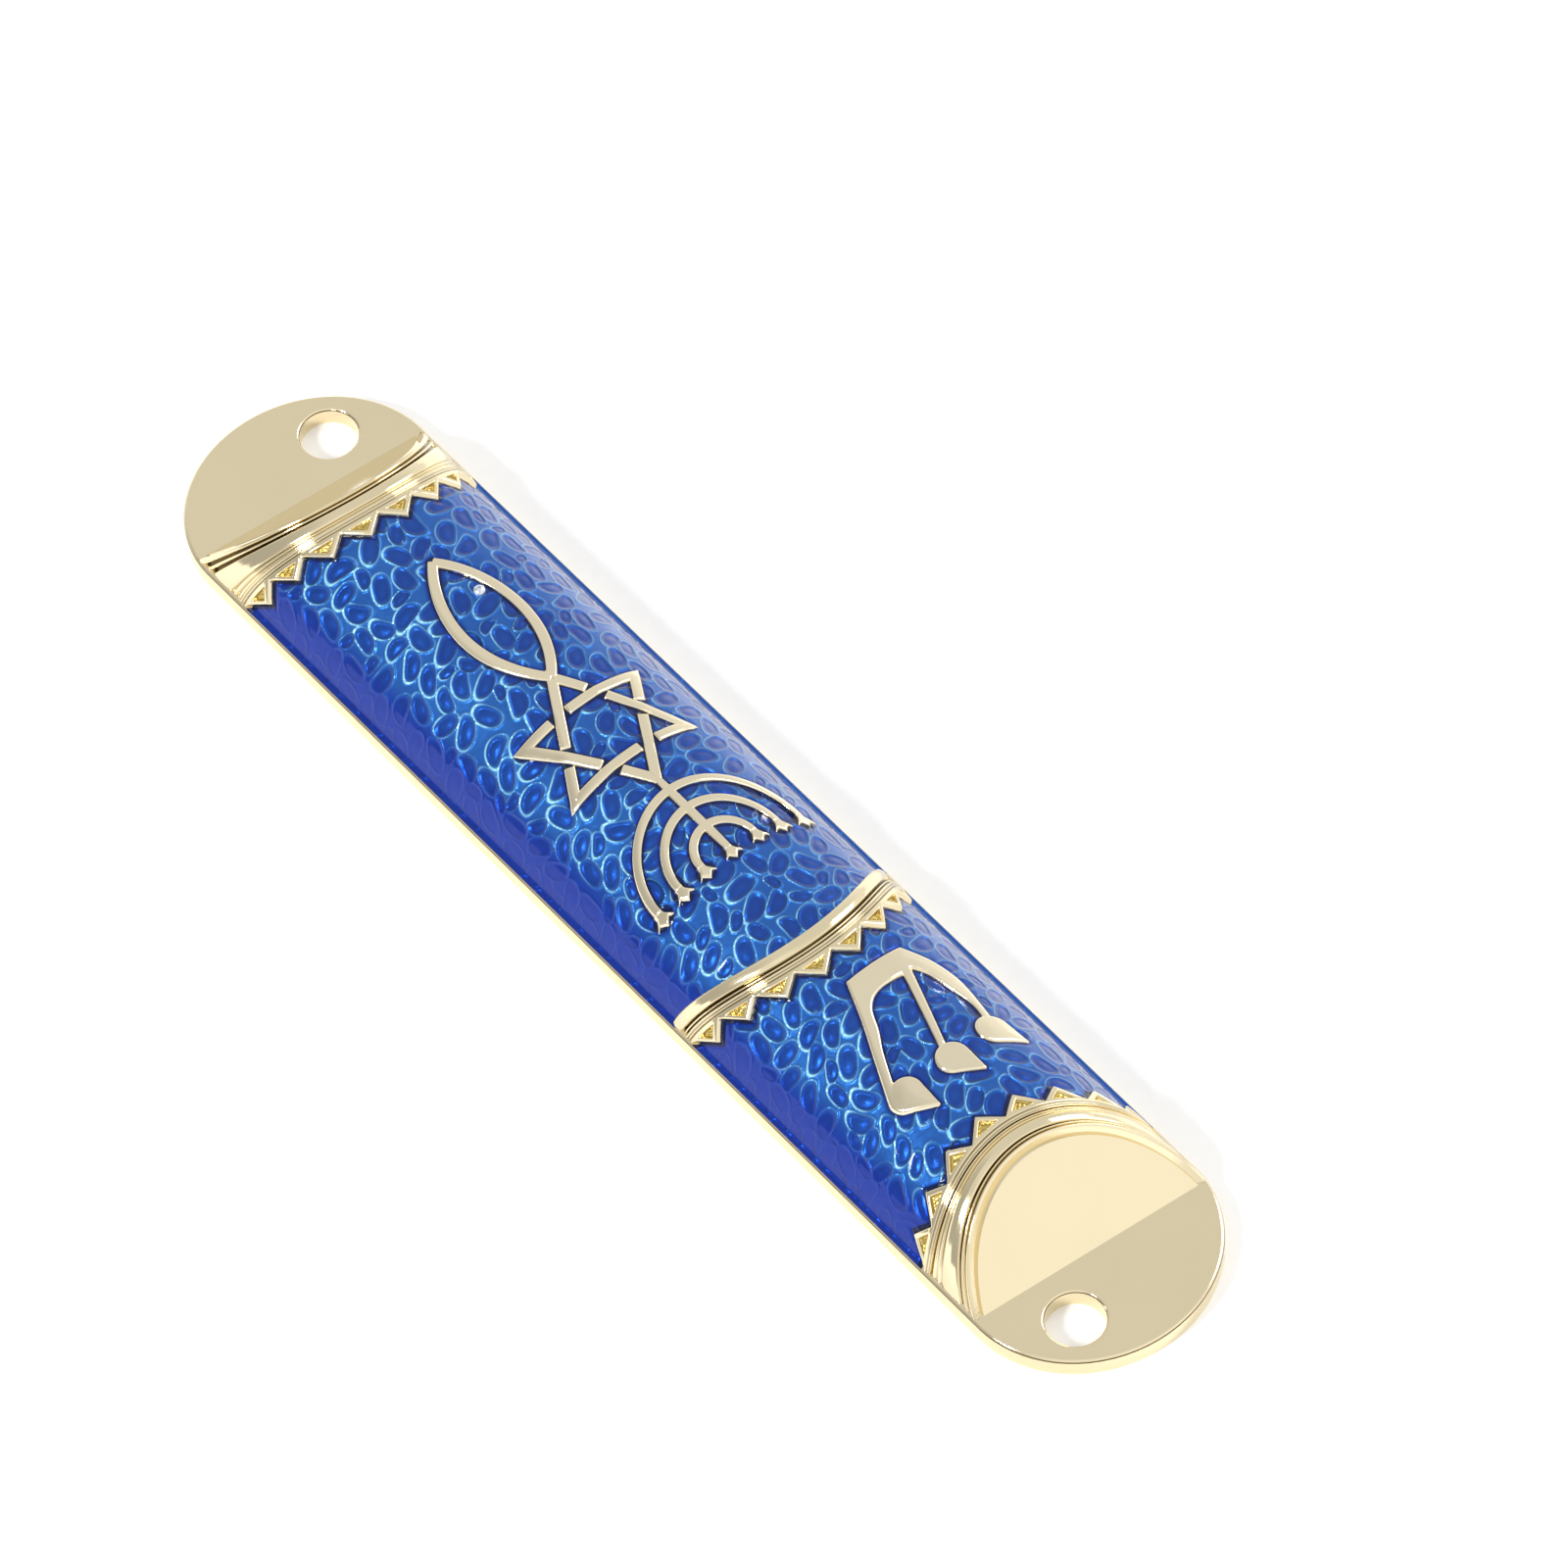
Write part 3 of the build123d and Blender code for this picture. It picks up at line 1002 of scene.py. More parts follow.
        # groove tone: painted shade in the grooves behind the teeth; hollow tone: warmer gold in the sunk
        # middles
        tones = {"hollow": smoothstep(0.10, 0.30, sunk), "groove": np.clip(groove * 5.0, 0, 1)}
        if row.sign < 0:
            y, top_r, keep_points = y[::-1], top_r[::-1], keep_points[::-1]
            tones = {tone: values[::-1] for tone, values in tones.items()}
        keep = keep_points[:-1, :-1] & keep_points[1:, :-1] & keep_points[:-1, 1:] & keep_points[1:, 1:]
        top = arch.wrap(angle[None, :], y, top_r)
        base = arch.wrap(angle[None, :], y, np.full(y.shape, arch.core_r - 0.05))
        top[..., 2] = np.maximum(top[..., 2], arch.plate_top)
        base[..., 2] = np.maximum(base[..., 2], arch.plate_top)
        tones = {tone: values * np.ones_like(inside) for tone, values in tones.items()}
        piece = relief_block(node + "_trim", top, base, keep, tones)
        finish_piece(piece, self.finish, "plated_trim", node)

    def make(self) -> None:
        """Makes all the trim."""
        for end, collar, teeth in (
            (End.UPPER, "upper_collar", "upper_teeth"),
            (End.LOWER, "lower_collar", "lower_teeth"),
        ):
            row = TOOTH_ROWS[teeth]
            self.collar(collar, row.tips.moved(end.value * (row.depth + row.strip_width)), Facet(end))
            self.toothed(teeth, row)
        row = TOOTH_ROWS["middle_teeth"]
        self.toothed("middle_teeth", row)
        bead = row.tips.moved(-4.8)
        self.moulded("middle_bead", bead, bead.moved(1.5), BEAD_MOULDING)
        self.moulded("middle_band", bead.moved(1.5), bead.moved(2.1), BAND_MOULDING)


# ---- Enamel --------------------------------------------------------------------------------------


@dataclass
class EnamelField:
    """One enamelled field over a ground hammered with bean-shaped hollows."""

    arch: Arch
    finish: bpy.types.Material
    low: CrossEdge
    high: CrossEdge
    rows: tuple[ToothRow, ...]
    seed: int
    relief_points: np.ndarray
    step: float = 0.10
    bean_long: float = 1.36
    bean_short: float = 0.80
    tries_per_mm2: float = 14
    foot_fillet: float = 0.25
    edge_gap: float = 0.14

    def beans(self, half_arc: float) -> list[tuple[float, float, float, float, float]]:
        """Scatters the hollows closely, larger ones first, without letting them overlap.

        Args:
            half_arc: Half the field's width, measured round the arch.

        Returns:
            For each hollow: arc, place along the case, turn, size and bend.
        """
        rng = np.random.default_rng(self.seed)
        placed: list[tuple[float, float, float, float, float]] = []
        low, high = self.low.y - 5.0, self.high.y + 5.0
        tries = int((high - low) * 2 * half_arc * self.tries_per_mm2)
        for number in range(tries):
            s = rng.uniform(-half_arc, half_arc)
            y = rng.uniform(low, high)
            turn = rng.normal(0.9, 0.75)
            size = 1.10 - 0.45 * number / tries + rng.uniform(-0.08, 0.08)
            if self.is_clear(s, y, turn, size, placed):
                placed.append((s, y, turn, size, rng.uniform(-0.30, 0.30)))
        return placed

    def is_clear(
        self,
        s: float,
        y: float,
        turn: float,
        size: float,
        placed: list[tuple[float, float, float, float, float]],
    ) -> bool:
        """Whether a hollow keeps off all those already placed.

        Args:
            s: Its arc round the case.
            y: Its place along the case.
            turn: Its turn, in radians.
            size: Its size.
            placed: The hollows that have their places.

        Returns:
            True where it overlaps none of them.
        """
        for s1, y1, turn1, size1, _bend in placed:
            ds, dy = s - s1, y - y1
            if abs(ds) > 3.2 or abs(dy) > 3.2:
                continue
            heading = math.atan2(dy, ds)
            span = self.reach(heading - turn, size) + self.reach(heading - turn1, size1)
            if math.hypot(ds, dy) < span * 1.02:
                return False
        return True

    def reach(self, angle: float, size: float) -> float:
        """Distance from a hollow's middle to its edge in one direction."""
        a, b = self.bean_long * size, self.bean_short * size
        return a * b / math.hypot(b * math.cos(angle), a * math.sin(angle))

    def nearest_bean(self, s: np.ndarray, y: np.ndarray, half_arc: float) -> tuple[np.ndarray, np.ndarray]:
        """Finds the nearest hollow of each point.

        Args:
            s: Arc round the case.
            y: Place along the case.
            half_arc: Half the field's width, measured round the arch.

        Returns:
            Distance, 0 at the hollow's middle and 1 on its edge, and how far the point lies on the hollow's
            side towards the light, where the highlight is painted, from -1 to 1.
        """
        nearest = np.full(y.shape, 3.0)
        glint_side = np.zeros(y.shape)
        for s0, y0, turn, size, bend in self.beans(half_arc):
            near = (np.abs(s - s0) < 2.6) & (np.abs(y - y0) < 2.6)
            ds, dy = s[near] - s0, y[near] - y0
            u = (ds * math.cos(turn) + dy * math.sin(turn)) / (self.bean_long * size)
            v = (-ds * math.sin(turn) + dy * math.cos(turn)) / (self.bean_short * size)
            v = v - bend * (u * u * 1.6 - 0.5)
            distance = (np.abs(u) ** 2.3 + np.abs(v) ** 2.3) ** (1 / 2.3)
            # direction towards the light: the side of the rim that gets the painted highlight
            side = (0.86 * ds - 0.50 * dy) / (np.hypot(ds, dy) + 1e-6)
            glint_side[near] = np.where(distance < nearest[near], side, glint_side[near])
            nearest[near] = np.minimum(nearest[near], distance)
        return nearest, glint_side

    def relief_gap(self, x: np.ndarray, y: np.ndarray) -> np.ndarray:
        """Distance from the raised lines that cross the field.

        Args:
            x: Place across the case.
            y: Place along the case.

        Returns:
            The gap to the nearest line's side, negative under the line.
        """
        gap = np.full(y.shape, 9.0)
        for px, py, half in self.relief_points:
            near = (np.abs(x - px) < 1.6) & (np.abs(y - py) < 1.6)
            gap[near] = np.minimum(gap[near], np.hypot(x[near] - px, y[near] - py) - half)
        return gap

    def ledge(self, foot_x: float, share: np.ndarray, buried: np.ndarray) -> tuple[np.ndarray, np.ndarray]:
        """Runs the enamel out over the plate's narrow ledge, thinning towards the plate's edge.

        Args:
            foot_x: Place across the case where the arch's surface stops.
            share: Place between the field's two ends, from 0 to 1, one row each.
            buried: How far each row lies under the trim, from 0 to 1.

        Returns:
            The strip's front and its underside, from the arch outwards.
        """
        run = np.linspace(0, 1, 8)[None, 1:]
        edge_x = math.copysign(PLATE_HALF_WIDTH - self.edge_gap, foot_x)
        x = foot_x + (edge_x - foot_x) * run
        y = self.low.at(x) + (self.high.at(x) - self.low.at(x)) * share
        past = np.maximum(np.abs(x) - (PLATE_HALF_WIDTH - PLATE_ROUNDING), 0.0)
        plate = self.arch.plate_top - PLATE_ROUNDING + np.sqrt(PLATE_ROUNDING**2 - past**2)
        thick = 0.03 + (self.foot_fillet - 0.03) * np.maximum(1 - run / 0.55, 0.0) ** 2
        front = plate + thick * (1 - buried) - 0.05 * buried
        under = plate - 0.1
        return (
            np.stack(np.broadcast_arrays(x, y, front), axis=-1),
            np.stack(np.broadcast_arrays(x, y, under), axis=-1),
        )

    def make(self, node: str) -> None:
        """Makes the field's mesh with its tones.

        Args:
            node: CAD node of the field.
        """
        arch = self.arch
        foot = math.acos((arch.plate_top + self.foot_fillet - arch.axis_z) / arch.enamel_r)
        angle = np.linspace(-foot, foot, int(2 * foot * arch.enamel_r / self.step))
        x = arch.enamel_r * np.sin(angle)
        share = np.linspace(0, 1, int((self.high.y - self.low.y + 6) / self.step))[:, None]
        y = self.low.at(x) + (self.high.at(x) - self.low.at(x)) * share
        s = np.broadcast_to(arch.enamel_r * angle, y.shape)
        flat_x = np.broadcast_to(x, y.shape)
        nearest, glint_side = self.nearest_bean(s, y, foot * arch.enamel_r)
        # the arch's two sides: smooth ground there, and painted shade in the colour
        left = smoothstep(math.radians(44), math.radians(58), angle)
        right = smoothstep(math.radians(50), math.radians(70), -angle)
        # strength of the painted highlights across the arch, strongest on the side towards the light
        glint_flank = 0.25 + 0.75 * bell(math.radians(34), math.radians(26), angle)
        side = (left + right)[None, :]
        hollow = 1 - smoothstep(0.62, 0.98, nearest)
        lip = bell(1.03, 0.10, nearest)
        centre = bell(0.0, 0.38, nearest)
        ground = (0.52 + 0.40 * lip - 0.52 * hollow + 0.22 * centre) * (1 - 0.85 * side)
        # painted highlights on the rims' sides towards the light; the rim tone is also lighter over thin
        # enamel, darker in the hollows, and darker on the arch's sides as painted shade
        rim_glint = (0.20 + 0.46 * smoothstep(-0.3, 0.9, glint_side) * glint_flank) * lip
        rim = np.clip(0.36 + rim_glint - 0.24 * hollow + 0.07 * centre + 0.05 * glint_flank, 0, 1) * (1 - 0.5 * side)
        relief = self.relief_gap(flat_x, y)
        # a slight dip beside the raised lines, darkened there as painted shade, and a painted dark line along
        # their sides
        moat = bell(0.16, 0.20, relief)
        edge_shade = 1 - smoothstep(0.08, 0.20, relief)
        edge_gap = np.minimum(y - self.low.at(x), self.high.at(x) - y)
        buried = np.zeros(y.shape)
        # beside the teeth: the same painted shade and painted dark line; under the teeth the enamel is sunk
        for row in self.rows:
            inside = row.inside(arch, angle[None, :], row.along(flat_x, y))
            buried = np.maximum(buried, smoothstep(0.05, 0.14, inside))
            moat = np.maximum(moat, bell(-0.26, 0.18, inside))
            edge_shade = np.maximum(edge_shade, smoothstep(-0.34, -0.22, inside))
        # painted dark line along the field's ends
        edge_shade = np.maximum(edge_shade, bell(0.02, 0.10, edge_gap))
        # darker on the arch's sides, beside the raised work and near the field's ends: partly enamel pooling,
        # partly painted shade
        pool_and_shade = np.clip(0.86 * side + 0.75 * moat + 0.2 * bell(0.0, 1.0, edge_gap), 0, 0.96)
        drop = 0.015 + 0.035 * hollow * (1 - side) + 0.05 * moat - 0.015 * lip
        radius = arch.enamel_r - np.maximum(drop, 0.0)
        radius = radius - buried * (radius - arch.core_r - 0.01)
        top = arch.wrap(angle[None, :], y, radius)
        base = arch.wrap(angle[None, :], y, np.full(y.shape, arch.core_r - 0.03))
        base[..., 2] = np.maximum(base[..., 2], arch.plate_top)
        tones = {"rim": rim, "pool_and_shade": pool_and_shade, "ground": ground, "edge_shade": np.clip(edge_shade * 0.92, 0, 1)}
        right_top, right_base = self.ledge(x[0], share, buried[:, :1])
        left_top, left_base = self.ledge(x[-1], share, buried[:, -1:])
        top = np.concatenate([right_top[:, ::-1], top, left_top], axis=1)
        base = np.concatenate([right_base[:, ::-1], base, left_base], axis=1)
        width = right_top.shape[1]
        for name, tone in tones.items():
            tones[name] = np.pad(np.broadcast_to(tone, y.shape), ((0, 0), (width, width)), mode="edge")
        # the ledge on the -X side gets fixed tones: less painted shade and a lighter rim than the arch's side
        # next to it
        tones["pool_and_shade"][:, :width] = 0.30
        tones["rim"][:, :width] = 0.42
        piece = relief_block(node + "_fill", top, base, tones=tones)
        finish_piece(piece, self.finish, "blue_enamel", node)


# ---- Emblem and letter ---------------------------------------------------------------------------


@dataclass
class Emblem:
    """Fish, interlaced star and seven-branched lamp, drawn in plan and raised from the core."""

    arch: Arch
    finish: bpy.types.Material
    stone: bpy.types.Material
    half_line: float = 0.53
    half_branch: float = 0.42
    middle_x: float = -0.2
    fish_nose_y: float = -34.7
    fish_half_width: float = 3.05
    star_y: float = -11.3
    star_r: float = 7.1
    lamp_y: float = 5.3
    branch_radii: tuple[float, ...] = (2.9, 5.4, 7.8)
    under_dip: float = 0.384
    step: float = 0.12

    def fish_sides(self) -> list[np.ndarray]:
        """Draws the fish's two sides, from its nose to the crossing of its tail.

        Returns:
            The two paths in plan.
        """
        tail_y = self.star_y - self.star_r
        half_length = (tail_y - self.fish_nose_y) / 2
        sag = self.fish_half_width
        radius = (half_length**2 + sag**2) / (2 * sag)
        middle = (self.fish_nose_y + tail_y) / 2
        swing = math.degrees(math.asin(half_length / radius))
        right = arc_through((sag - radius, middle), radius, -swing, swing, self.step)
        return [right + (self.middle_x, 0), right * (-1, 1) + (self.middle_x, 0)]

    def star_sides(self) -> list[np.ndarray]:
        """Draws the star's two triangles.

        Returns:
            The two closed paths in plan.
        """
        paths = []
        for first in (90, -90):
            corners = [
                (
                    self.middle_x + self.star_r * math.cos(math.radians(turn)),
                    self.star_y + self.star_r * math.sin(math.radians(turn)),
                )
                for turn in (first, first + 120, first + 240)
            ]
            paths.append(line_through(corners, self.step, closed=True))
        return paths

    def lamp_lines(self) -> list[np.ndarray]:
        """Draws the lamp's stem and branches.

        Returns:
            The paths in plan, the stem first.
        """
        x = self.middle_x
        stem = line_through([(x, self.star_y + self.star_r + 0.3), (x, self.lamp_y + 0.2)], self.step)
        arcs = [arc_through((x, self.lamp_y), r, 180, 360, self.step) for r in self.branch_radii]
        return [stem] + arcs

    def cup_places(self) -> list[tuple[float, float]]:
        """Feet of the seven cups."""
        radii = [0.0] + [sign * r for r in self.branch_radii for sign in (-1, 1)]
        return [(self.middle_x + x, self.lamp_y) for x in radii]

    def points(self) -> np.ndarray:
        """Marks every line for the enamel that meets it.

        Returns:
            Points along the lines, each with the line's half width.
        """
        rows = []
        for paths, half in (
            (self.fish_sides(), self.half_line),
            (self.star_sides(), self.half_line),
            (self.lamp_lines(), self.half_branch),
        ):
            for path in paths:
                rows.append(np.column_stack([path[::2], np.full(len(path[::2]), half)]))
        rows.append(np.array([(x, y + 0.6, 0.8) for x, y in self.cup_places()]))
        return np.concatenate(rows)

    def make_fish(self) -> None:
        """Makes the fish and its eye."""
        wires = []
        top = self.arch.emblem_r
        for path in self.fish_sides():
            share = np.linspace(0, 1, len(path))
            swell = self.half_line * (0.94 + 0.12 * np.sin(math.pi * share))
            wires.append(Wire(path, swell, np.full(len(path), top) - 0.03 * share))
        finish_piece(wires_piece("fish_lines", self.arch, wires), self.finish, "plated_relief", "fish")
        self.make_eye()

    def make_eye(self) -> None:
        """Makes the eye: a round stone in the middle of the CAD node's place."""
        low, high = (np.array(corner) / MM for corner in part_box("fish_eye"))
        centre = (low + high) / 2
        radius = (high[0] - low[0]) / 2
        rings, sectors = 14, 28
        lift = np.linspace(0, math.pi / 2, rings)
        turn = np.linspace(0, 2 * math.pi, sectors, endpoint=False)
        dome_r = radius * np.cos(lift)[:, None]
        x = centre[0] + dome_r * np.cos(turn)
        y = centre[1] + dome_r * np.sin(turn)
        z = high[2] - radius * 0.75 + radius * 0.75 * np.sin(lift)[:, None] + 0 * turn
        grid = np.stack([x, y, z], -1)
        foot = grid[:1] * (1, 1, 0) + (0, 0, low[2])
        rim = np.concatenate([foot, grid[:-1]])
        top = np.array([[centre[0], centre[1], high[2]]])
        bottom = np.array([[centre[0], centre[1], low[2]]])
        points = np.concatenate([rim.reshape(-1, 3), top, bottom])
        index = np.arange(rings * sectors).reshape(rings, sectors)
        ahead = np.roll(index, -1, 1)
        quads = np.stack([index[:-1], ahead[:-1], ahead[1:], index[1:]], -1).reshape(-1, 4)
        cap = np.stack([index[-1], ahead[-1], np.full(sectors, rings * sectors)], -1)
        sole = np.stack([ahead[0], index[0], np.full(sectors, rings * sectors + 1)], -1)
        piece = new_piece("fish_eye_stone", points, [quads, np.concatenate([cap, sole])])
        finish_piece(piece, self.stone, "eye_stone", "fish_eye")

    def make_star(self) -> None:
        """Makes the star: each triangle passes over and under the other in turn."""
        wires = []
        for path in self.star_sides():
            count = len(path)
            share = (np.arange(count) * 3 / count) % 1.0
            over = bell(1 / 3, 0.075, share)
            under = 1 - smoothstep(0.066, 0.080, np.abs(share - 2 / 3))
            top = self.arch.emblem_r - 0.08 + 0.08 * over - self.under_dip * under
            width = self.half_line * (0.98 - 0.04 * over)
            wires.append(Wire(path, width, top, closed=True))
        finish_piece(wires_piece("star_lines", self.arch, wires), self.finish, "plated_relief", "star")

    def make_lamp(self) -> None:
        """Makes the lamp's stem, branches and cups."""
        wires = []
        for path in self.lamp_lines():
            share = np.linspace(-1, 1, len(path))
            width = self.half_branch * (1.06 - 0.22 * np.abs(share) ** 3)
            wires.append(Wire(path, width, np.full(len(path), self.arch.emblem_r)))
        piece = wires_piece("lamp_branch_lines", self.arch, wires)
        finish_piece(piece, self.finish, "plated_relief", "lamp_branches")
        half = [(0.38, -0.25), (0.42, 0.25), (0.92, 1.05), (0.48, 0.88)]
        outline = half + [(0.0, 1.42)] + [(-x, y) for x, y in reversed(half)]
        blocks = []
        for x, y in self.cup_places():
            blocks.append(raised_shape(self.arch, np.array(outline) + (x, y), 0.055, 0.22))
        piece = join_blocks("lamp_cup_tops", blocks)
        finish_piece(piece, self.finish, "plated_relief", "lamp_cups")


def raised_shape(
    arch: Arch, outline: np.ndarray, step: float, shoulder: float, more: list[np.ndarray] | None = None
) -> tuple[np.ndarray, np.ndarray]:
    """Shapes the top of a flat-topped relief with rounded shoulders.

    Args:
        arch: The arch that it stands on.
        outline: Its outline in plan.
        step: Size of a grid cell.
        shoulder: Width of the rounded edge.
        more: Further outlines that join the first.

    Returns:
        The grid of top points and the cells to keep.
    """
    outlines = [outline] + (more or [])
    corners = np.concatenate(outlines)
    low, high = corners.min(0) - 0.3, corners.max(0) + 0.3
    x, y = np.meshgrid(np.arange(low[0], high[0], step), np.arange(low[1], high[1], step))
    inside = np.max([distance_inside(shape, x, y) for shape in outlines], axis=0)
    edge = np.clip(inside / shoulder, 0, 1)
    crest = np.sqrt(np.clip(1 - (1 - edge) ** 2, 0, 1))
    swell = 0.04 * smoothstep(0.2, 1.4, inside)
    floor = arch.core_r + 0.1
    shoulder_r = arch.emblem_r - 0.26
    wall = smoothstep(-0.10, 0.02, inside)
    radius = floor + (shoulder_r - floor) * wall + (arch.emblem_r - 0.04 - shoulder_r) * crest + swell
    top = arch.drape(x, y, radius)
    keep_points = inside > -0.16
    keep = keep_points[:-1, :-1] & keep_points[1:, :-1] & keep_points[:-1, 1:] & keep_points[1:, 1:]
    return top, keep


def join_blocks(name: str, blocks: list[tuple[np.ndarray, np.ndarray]]) -> bpy.types.Object:
    """Makes one object of several raised shapes.

    Args:
        name: Object's name.
        blocks: Top grids and kept cells.

    Returns:
        The new object.
    """
    pieces = []
    for number, (top, keep) in enumerate(blocks):
        base = ARCH.drape(top[..., 0], top[..., 1], np.full(top.shape[:2], ARCH.core_r - 0.05))
        pieces.append(relief_block(f"{name}_{number}", top, base, keep))
    bpy.ops.object.select_all(action="DESELECT")
    for piece in pieces:
        piece.select_set(True)
    bpy.context.view_layer.objects.active = pieces[0]
    if len(pieces) > 1:
        bpy.ops.object.join()
    pieces[0].name = name
    return pieces[0]


@dataclass
class Letter:
    """The letter on the short field: three arms that end in pointed drops."""

    arch: Arch
    finish: bpy.types.Material
    drop_r: float = 1.6
    tip_r: float = 0.15

    @staticmethod
    def curve(points: list[tuple[float, float]], count: int = 14) -> np.ndarray:
        """Smooth curve through points, by Catmull-Rom spans.

        Args:
            points: Points in plan that the curve passes through.
            count: Steps in each span.

        Returns:
            Points of the curve.
        """
        knots = np.array([points[0]] + points + [points[-1]], float)
        t = np.linspace(0, 1, count, endpoint=False)[:, None]
        spans = []
        for a, b, c, d in zip(knots, knots[1:], knots[2:], knots[3:]):
            square = (2 * a - 5 * b + 4 * c - d) * t**2
            cube = (3 * b - a - 3 * c + d) * t**3
            spans.append(0.5 * (2 * b + (c - a) * t + square + cube))
        return np.concatenate(spans + [knots[-1:]])

    def arms(self) -> np.ndarray:
        """Draws the bar and the three arms.

        Returns:
            Points of the closed outline.
        """
        return np.concatenate(
            [
                self.curve([(1.2, 22.6), (-1.8, 22.5), (-4.9, 22.4)]),
                self.curve([(-4.9, 22.4), (-6.3, 24.8), (-6.95, 27.2), (-6.9, 29.4), (-6.4, 32.6)]),
                self.curve([(-5.6, 32.6), (-5.85, 30.6), (-5.45, 28.2), (-4.9, 26.2), (-4.1, 24.9)]),
                np.array([(-1.15, 32.9), (-0.4, 32.9)]),
                self.curve(
                    [(-3.05, 25.05), (-0.5, 25.1), (1.1, 26.0), (2.15, 28.1), (3.3, 30.1), (4.8, 33.4)]
                ),
                self.curve([(5.8, 33.4), (4.2, 29.75), (2.65, 26.3), (1.2, 22.6)]),
            ]
        )

    def drop(self, blob: tuple[float, float], tip: tuple[float, float]) -> np.ndarray:
        """Outline of a drop from its round end to its point.

        Args:
            blob: Middle of the round end.
            tip: Middle of the small round point.

        Returns:
            Points of the closed outline.
        """
        dx, dy = tip[0] - blob[0], tip[1] - blob[1]
        heading = math.atan2(dy, dx)
        lean = math.acos((self.drop_r - self.tip_r) / math.hypot(dx, dy))
        sides = []
        for middle, radius, start, end, count in (
            (blob, self.drop_r, heading + lean, heading + 2 * math.pi - lean, 40),
            (tip, self.tip_r, heading - lean, heading + lean, 10),
        ):
            turn = np.linspace(start, end, count)
            sides.append(np.stack([middle[0] + radius * np.cos(turn), middle[1] + radius * np.sin(turn)], 1))
        return np.concatenate(sides)

    def outlines(self) -> list[np.ndarray]:
        """Draws the arms and the three drops.

        Returns:
            The closed outlines, the arms first.
        """
        drops = (
            ((4.4, 34.2), (3.1, 37.0)),
            ((-0.7, 34.4), (-2.1, 36.9)),
            ((-5.6, 33.8), (-7.3, 36.1)),
        )
        return [self.arms()] + [self.drop(blob, tip) for blob, tip in drops]

    def points(self) -> np.ndarray:
        """Marks the outlines for the enamel that meets them.

        Returns:
            Points round the outlines, each with a half width of zero.
        """
        step = 0.12
        lines = [line_through(list(map(tuple, line)), step, closed=True) for line in self.outlines()]
        points = np.concatenate(lines)
        return np.column_stack([points, np.zeros(len(points))])

    def make(self) -> None:
        """Makes the letter."""
        first, *rest = self.outlines()
        block = raised_shape(self.arch, first, 0.07, 0.30, rest)
        piece = join_blocks("shin_letter", [block])
        finish_piece(piece, self.finish, "plated_relief", "shin")


# ---- Studio --------------------------------------------------------------------------------------


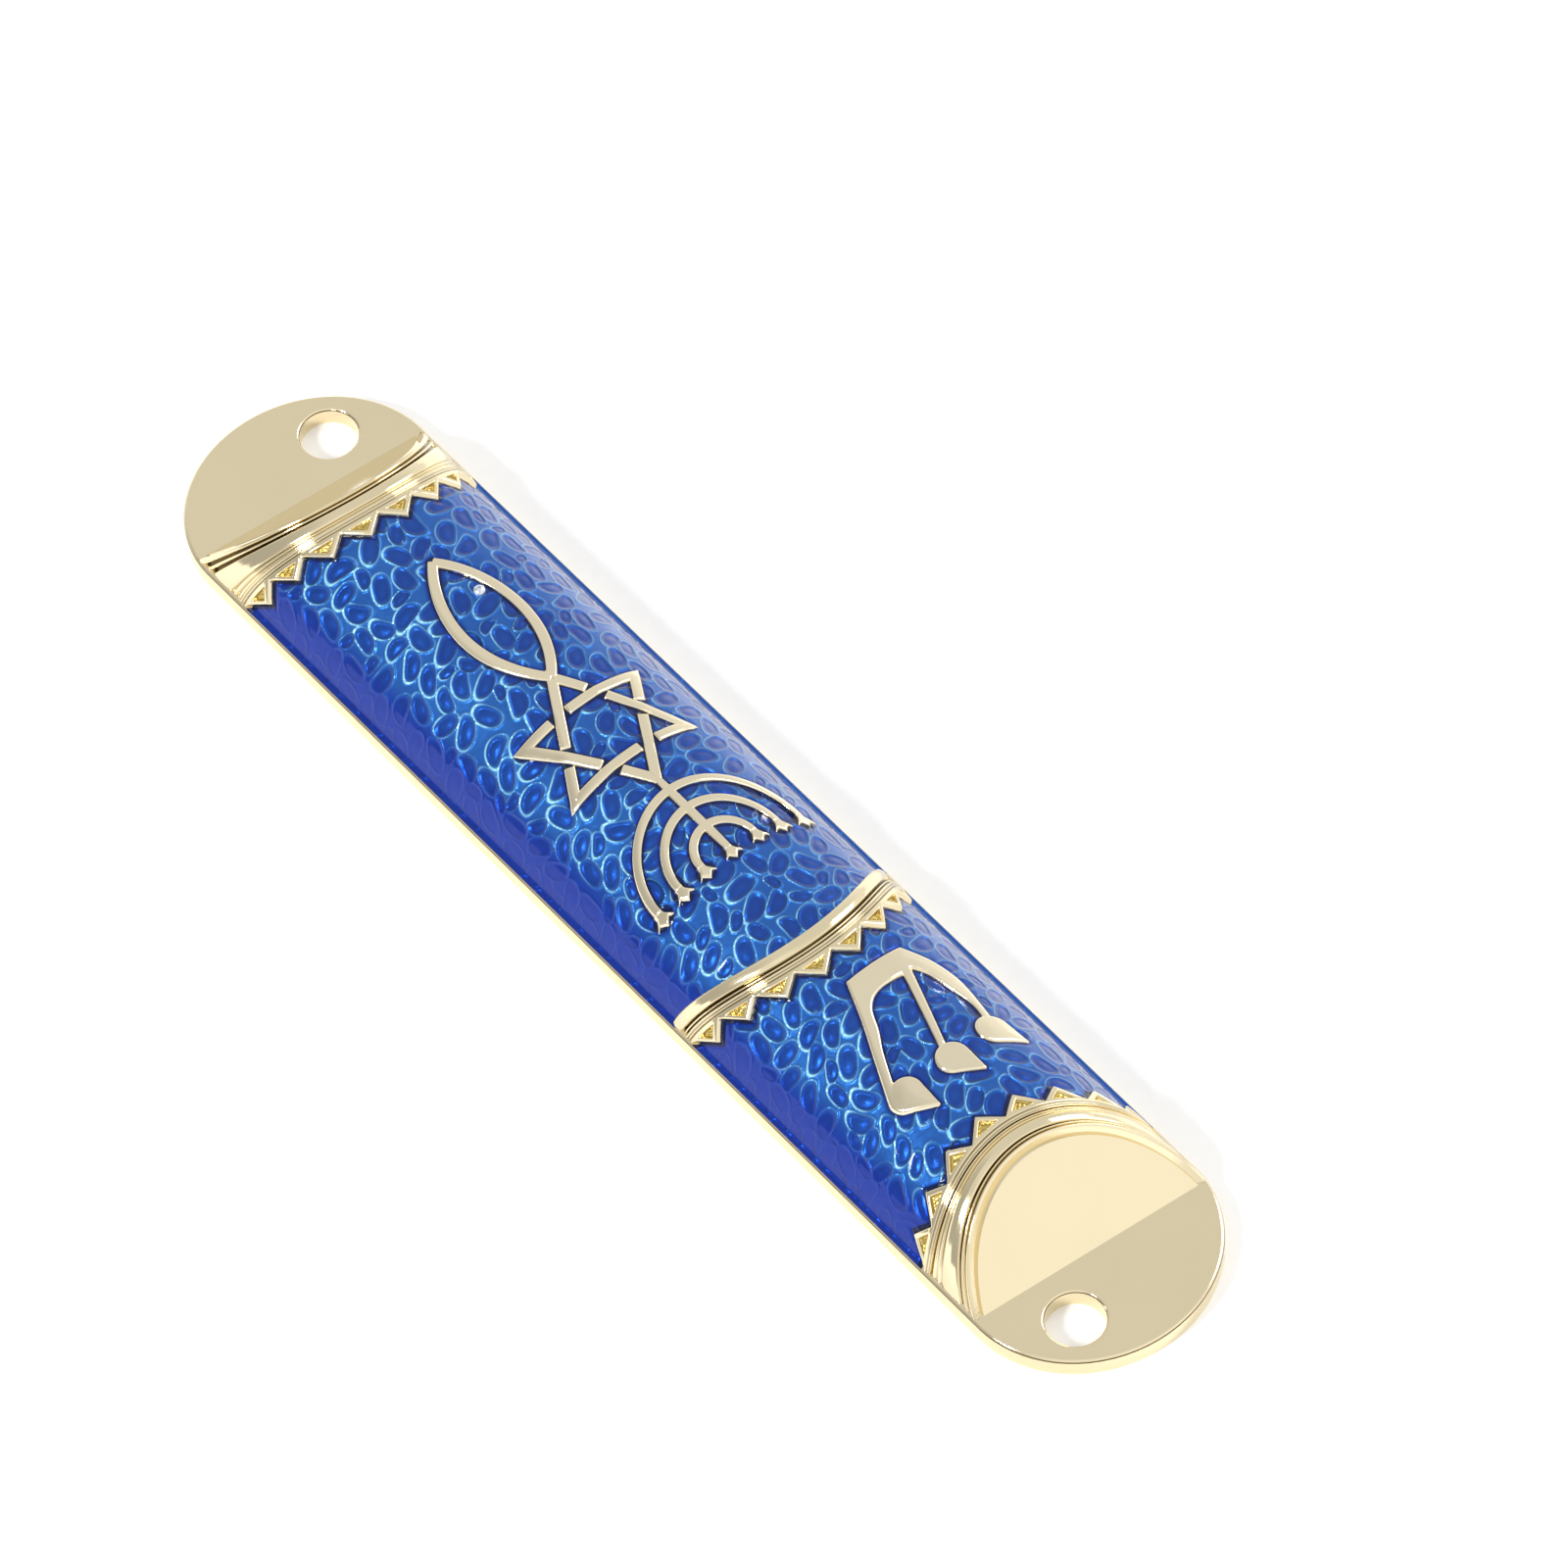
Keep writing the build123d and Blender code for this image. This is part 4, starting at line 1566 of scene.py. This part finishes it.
@dataclass
class Studio:
    """Pale floor, soft lights and the camera."""

    eye_mm: tuple[float, float, float] = (316.0, 455.4, 814.3)
    target_mm: tuple[float, float, float] = (-10.0, 0.7, 5.0)
    roll_degrees: float = -5.21
    lens: float = 262.8
    floor_size: float = 6.0

    def place_camera(self) -> None:
        """Sets the camera at its viewing angle."""
        eye, target = (Vector(point) * MM for point in (self.eye_mm, self.target_mm))
        data = bpy.data.cameras.new("camera")
        data.sensor_width = 36.0
        data.lens = self.lens
        data.clip_start = 0.01
        camera = bpy.data.objects.new("camera", data)
        turn = (target - eye).to_track_quat("-Z", "Y").to_matrix().to_4x4()
        roll = Matrix.Rotation(math.radians(self.roll_degrees), 4, "Z")
        camera.matrix_world = Matrix.Translation(eye) @ turn @ roll
        bpy.context.scene.collection.objects.link(camera)
        bpy.context.scene.camera = camera

    def lay_floor(self) -> None:
        """Lays the floor under the case."""
        half = self.floor_size / 2
        mesh = bpy.data.meshes.new("floor")
        corners = [(-half, -half, 0), (half, -half, 0), (half, half, 0), (-half, half, 0)]
        mesh.from_pydata(corners, [], [(0, 1, 2, 3)])
        mesh.materials.append(StudioFloor("floor_paper").make())
        floor = bpy.data.objects.new("floor", mesh)
        bpy.context.scene.collection.objects.link(floor)

    @staticmethod
    def add_light(name: str, place: tuple[float, float, float], size: float, power: float) -> None:
        """Hangs a soft square light that faces the case.

        Args:
            name: Light's name.
            place: Where it hangs, in metres.
            size: Side of the square, in metres.
            power: Its power in watts.
        """
        data = bpy.data.lights.new(name, "AREA")
        data.shape = "SQUARE"
        data.size = size
        data.energy = power
        light = bpy.data.objects.new(name, data)
        spot = Vector(place)
        light.matrix_world = Matrix.Translation(spot) @ (-spot).to_track_quat("-Z", "Y").to_matrix().to_4x4()
        bpy.context.scene.collection.objects.link(light)

    @staticmethod
    def sky() -> bpy.types.World:
        """Makes a bright tent: white, softer overhead, darker on one side and brighter opposite.

        Returns:
            The world, whose strength falls or rises smoothly about three directions.
        """
        world = bpy.data.worlds.new("studio")
        world.use_nodes = True
        tree = world.node_tree
        background = tree.nodes["Background"]
        place = tree.nodes.new("ShaderNodeTexCoord")
        level: bpy.types.NodeSocket | None = None
        for aim, low, high, change in (
            ((-0.33, -0.46, 0.82), 0.55, 0.92, -0.22),
            ((0.86, -0.45, 0.20), 0.45, 0.95, -0.50),
            ((-0.33, 0.87, 0.35), 0.70, 0.98, 0.12),
        ):
            dot = tree.nodes.new("ShaderNodeVectorMath")
            dot.operation = "DOT_PRODUCT"
            dot.inputs[1].default_value = Vector(aim).normalized()
            tree.links.new(place.outputs["Generated"], dot.inputs[0])
            span = tree.nodes.new("ShaderNodeMapRange")
            span.interpolation_type = "SMOOTHSTEP"
            span.inputs["From Min"].default_value = low
            span.inputs["From Max"].default_value = high
            span.inputs["To Max"].default_value = change
            tree.links.new(dot.outputs["Value"], span.inputs["Value"])
            total = tree.nodes.new("ShaderNodeMath")
            total.inputs[1].default_value = 1.0
            tree.links.new(span.outputs["Result"], total.inputs[0])
            if level is not None:
                tree.links.new(level, total.inputs[1])
            level = total.outputs[0]
        tree.links.new(level, background.inputs["Strength"])
        background.inputs["Color"].default_value = (1.0, 1.0, 1.0, 1.0)
        return world

    def light(self) -> None:
        """Sets the sky and the lights."""
        bpy.context.scene.world = self.sky()
        self.add_light("softbox_side", (-1.5, 0.1, 1.1), 1.0, 10.0)
        self.add_light("softbox_glint", (0.78, -0.06, 0.66), 0.20, 7.0)
        bpy.context.scene.view_settings.view_transform = "Standard"


TOOTH_ROWS = {
    "upper_teeth": ToothRow(CrossEdge(40.2, 3.9, 0.10), -1),
    "lower_teeth": ToothRow(CrossEdge(-40.2, -3.9, 0.10), 1),
    "middle_teeth": ToothRow(CrossEdge(21.1, -5.2), 1),
}
ARCH = Arch.from_frame()


def main() -> None:
    """Builds the case's looks in order."""
    logging.basicConfig(level=logging.INFO, format="%(name)s: %(message)s")
    LOG.info("arch %s", ARCH)
    studio = Studio()
    studio.place_camera()
    studio.lay_floor()
    studio.light()
    trim_gold = GoldPlate("plated_trim", roughness=0.10).make()
    relief_gold = GoldPlate("plated_relief", light=(0.90, 0.80, 0.58), roughness=0.12).make()
    enamel = BlueEnamel("blue_enamel").make()
    case_gold = GoldPlate("plated_case", roughness=0.07, plate_top=ARCH.plate_top * MM)
    cover_gold = GoldPlate("plated_cover", roughness=0.22, grain=0.00001, brushed=True)
    CaseShell(case_gold, cover_gold).dress()
    TrimBand(ARCH, trim_gold).make()
    emblem = Emblem(ARCH, relief_gold, SilverStone("silver_stone").make())
    letter = Letter(ARCH, relief_gold)
    long_low = CrossEdge(-42.4, -3.9, 0.10)
    long_high = CrossEdge(17.05, -5.2)
    rows = (TOOTH_ROWS["lower_teeth"],)
    EnamelField(ARCH, enamel, long_low, long_high, rows, 11, emblem.points()).make("enamel_long")
    short_low = CrossEdge(18.9, -5.2)
    short_high = CrossEdge(42.4, 3.9, 0.10)
    rows = (TOOTH_ROWS["middle_teeth"], TOOTH_ROWS["upper_teeth"])
    EnamelField(ARCH, enamel, short_low, short_high, rows, 23, letter.points()).make("enamel_short")
    emblem.make_fish()
    emblem.make_star()
    emblem.make_lamp()
    letter.make()


if __name__ == "__main__":
    main()
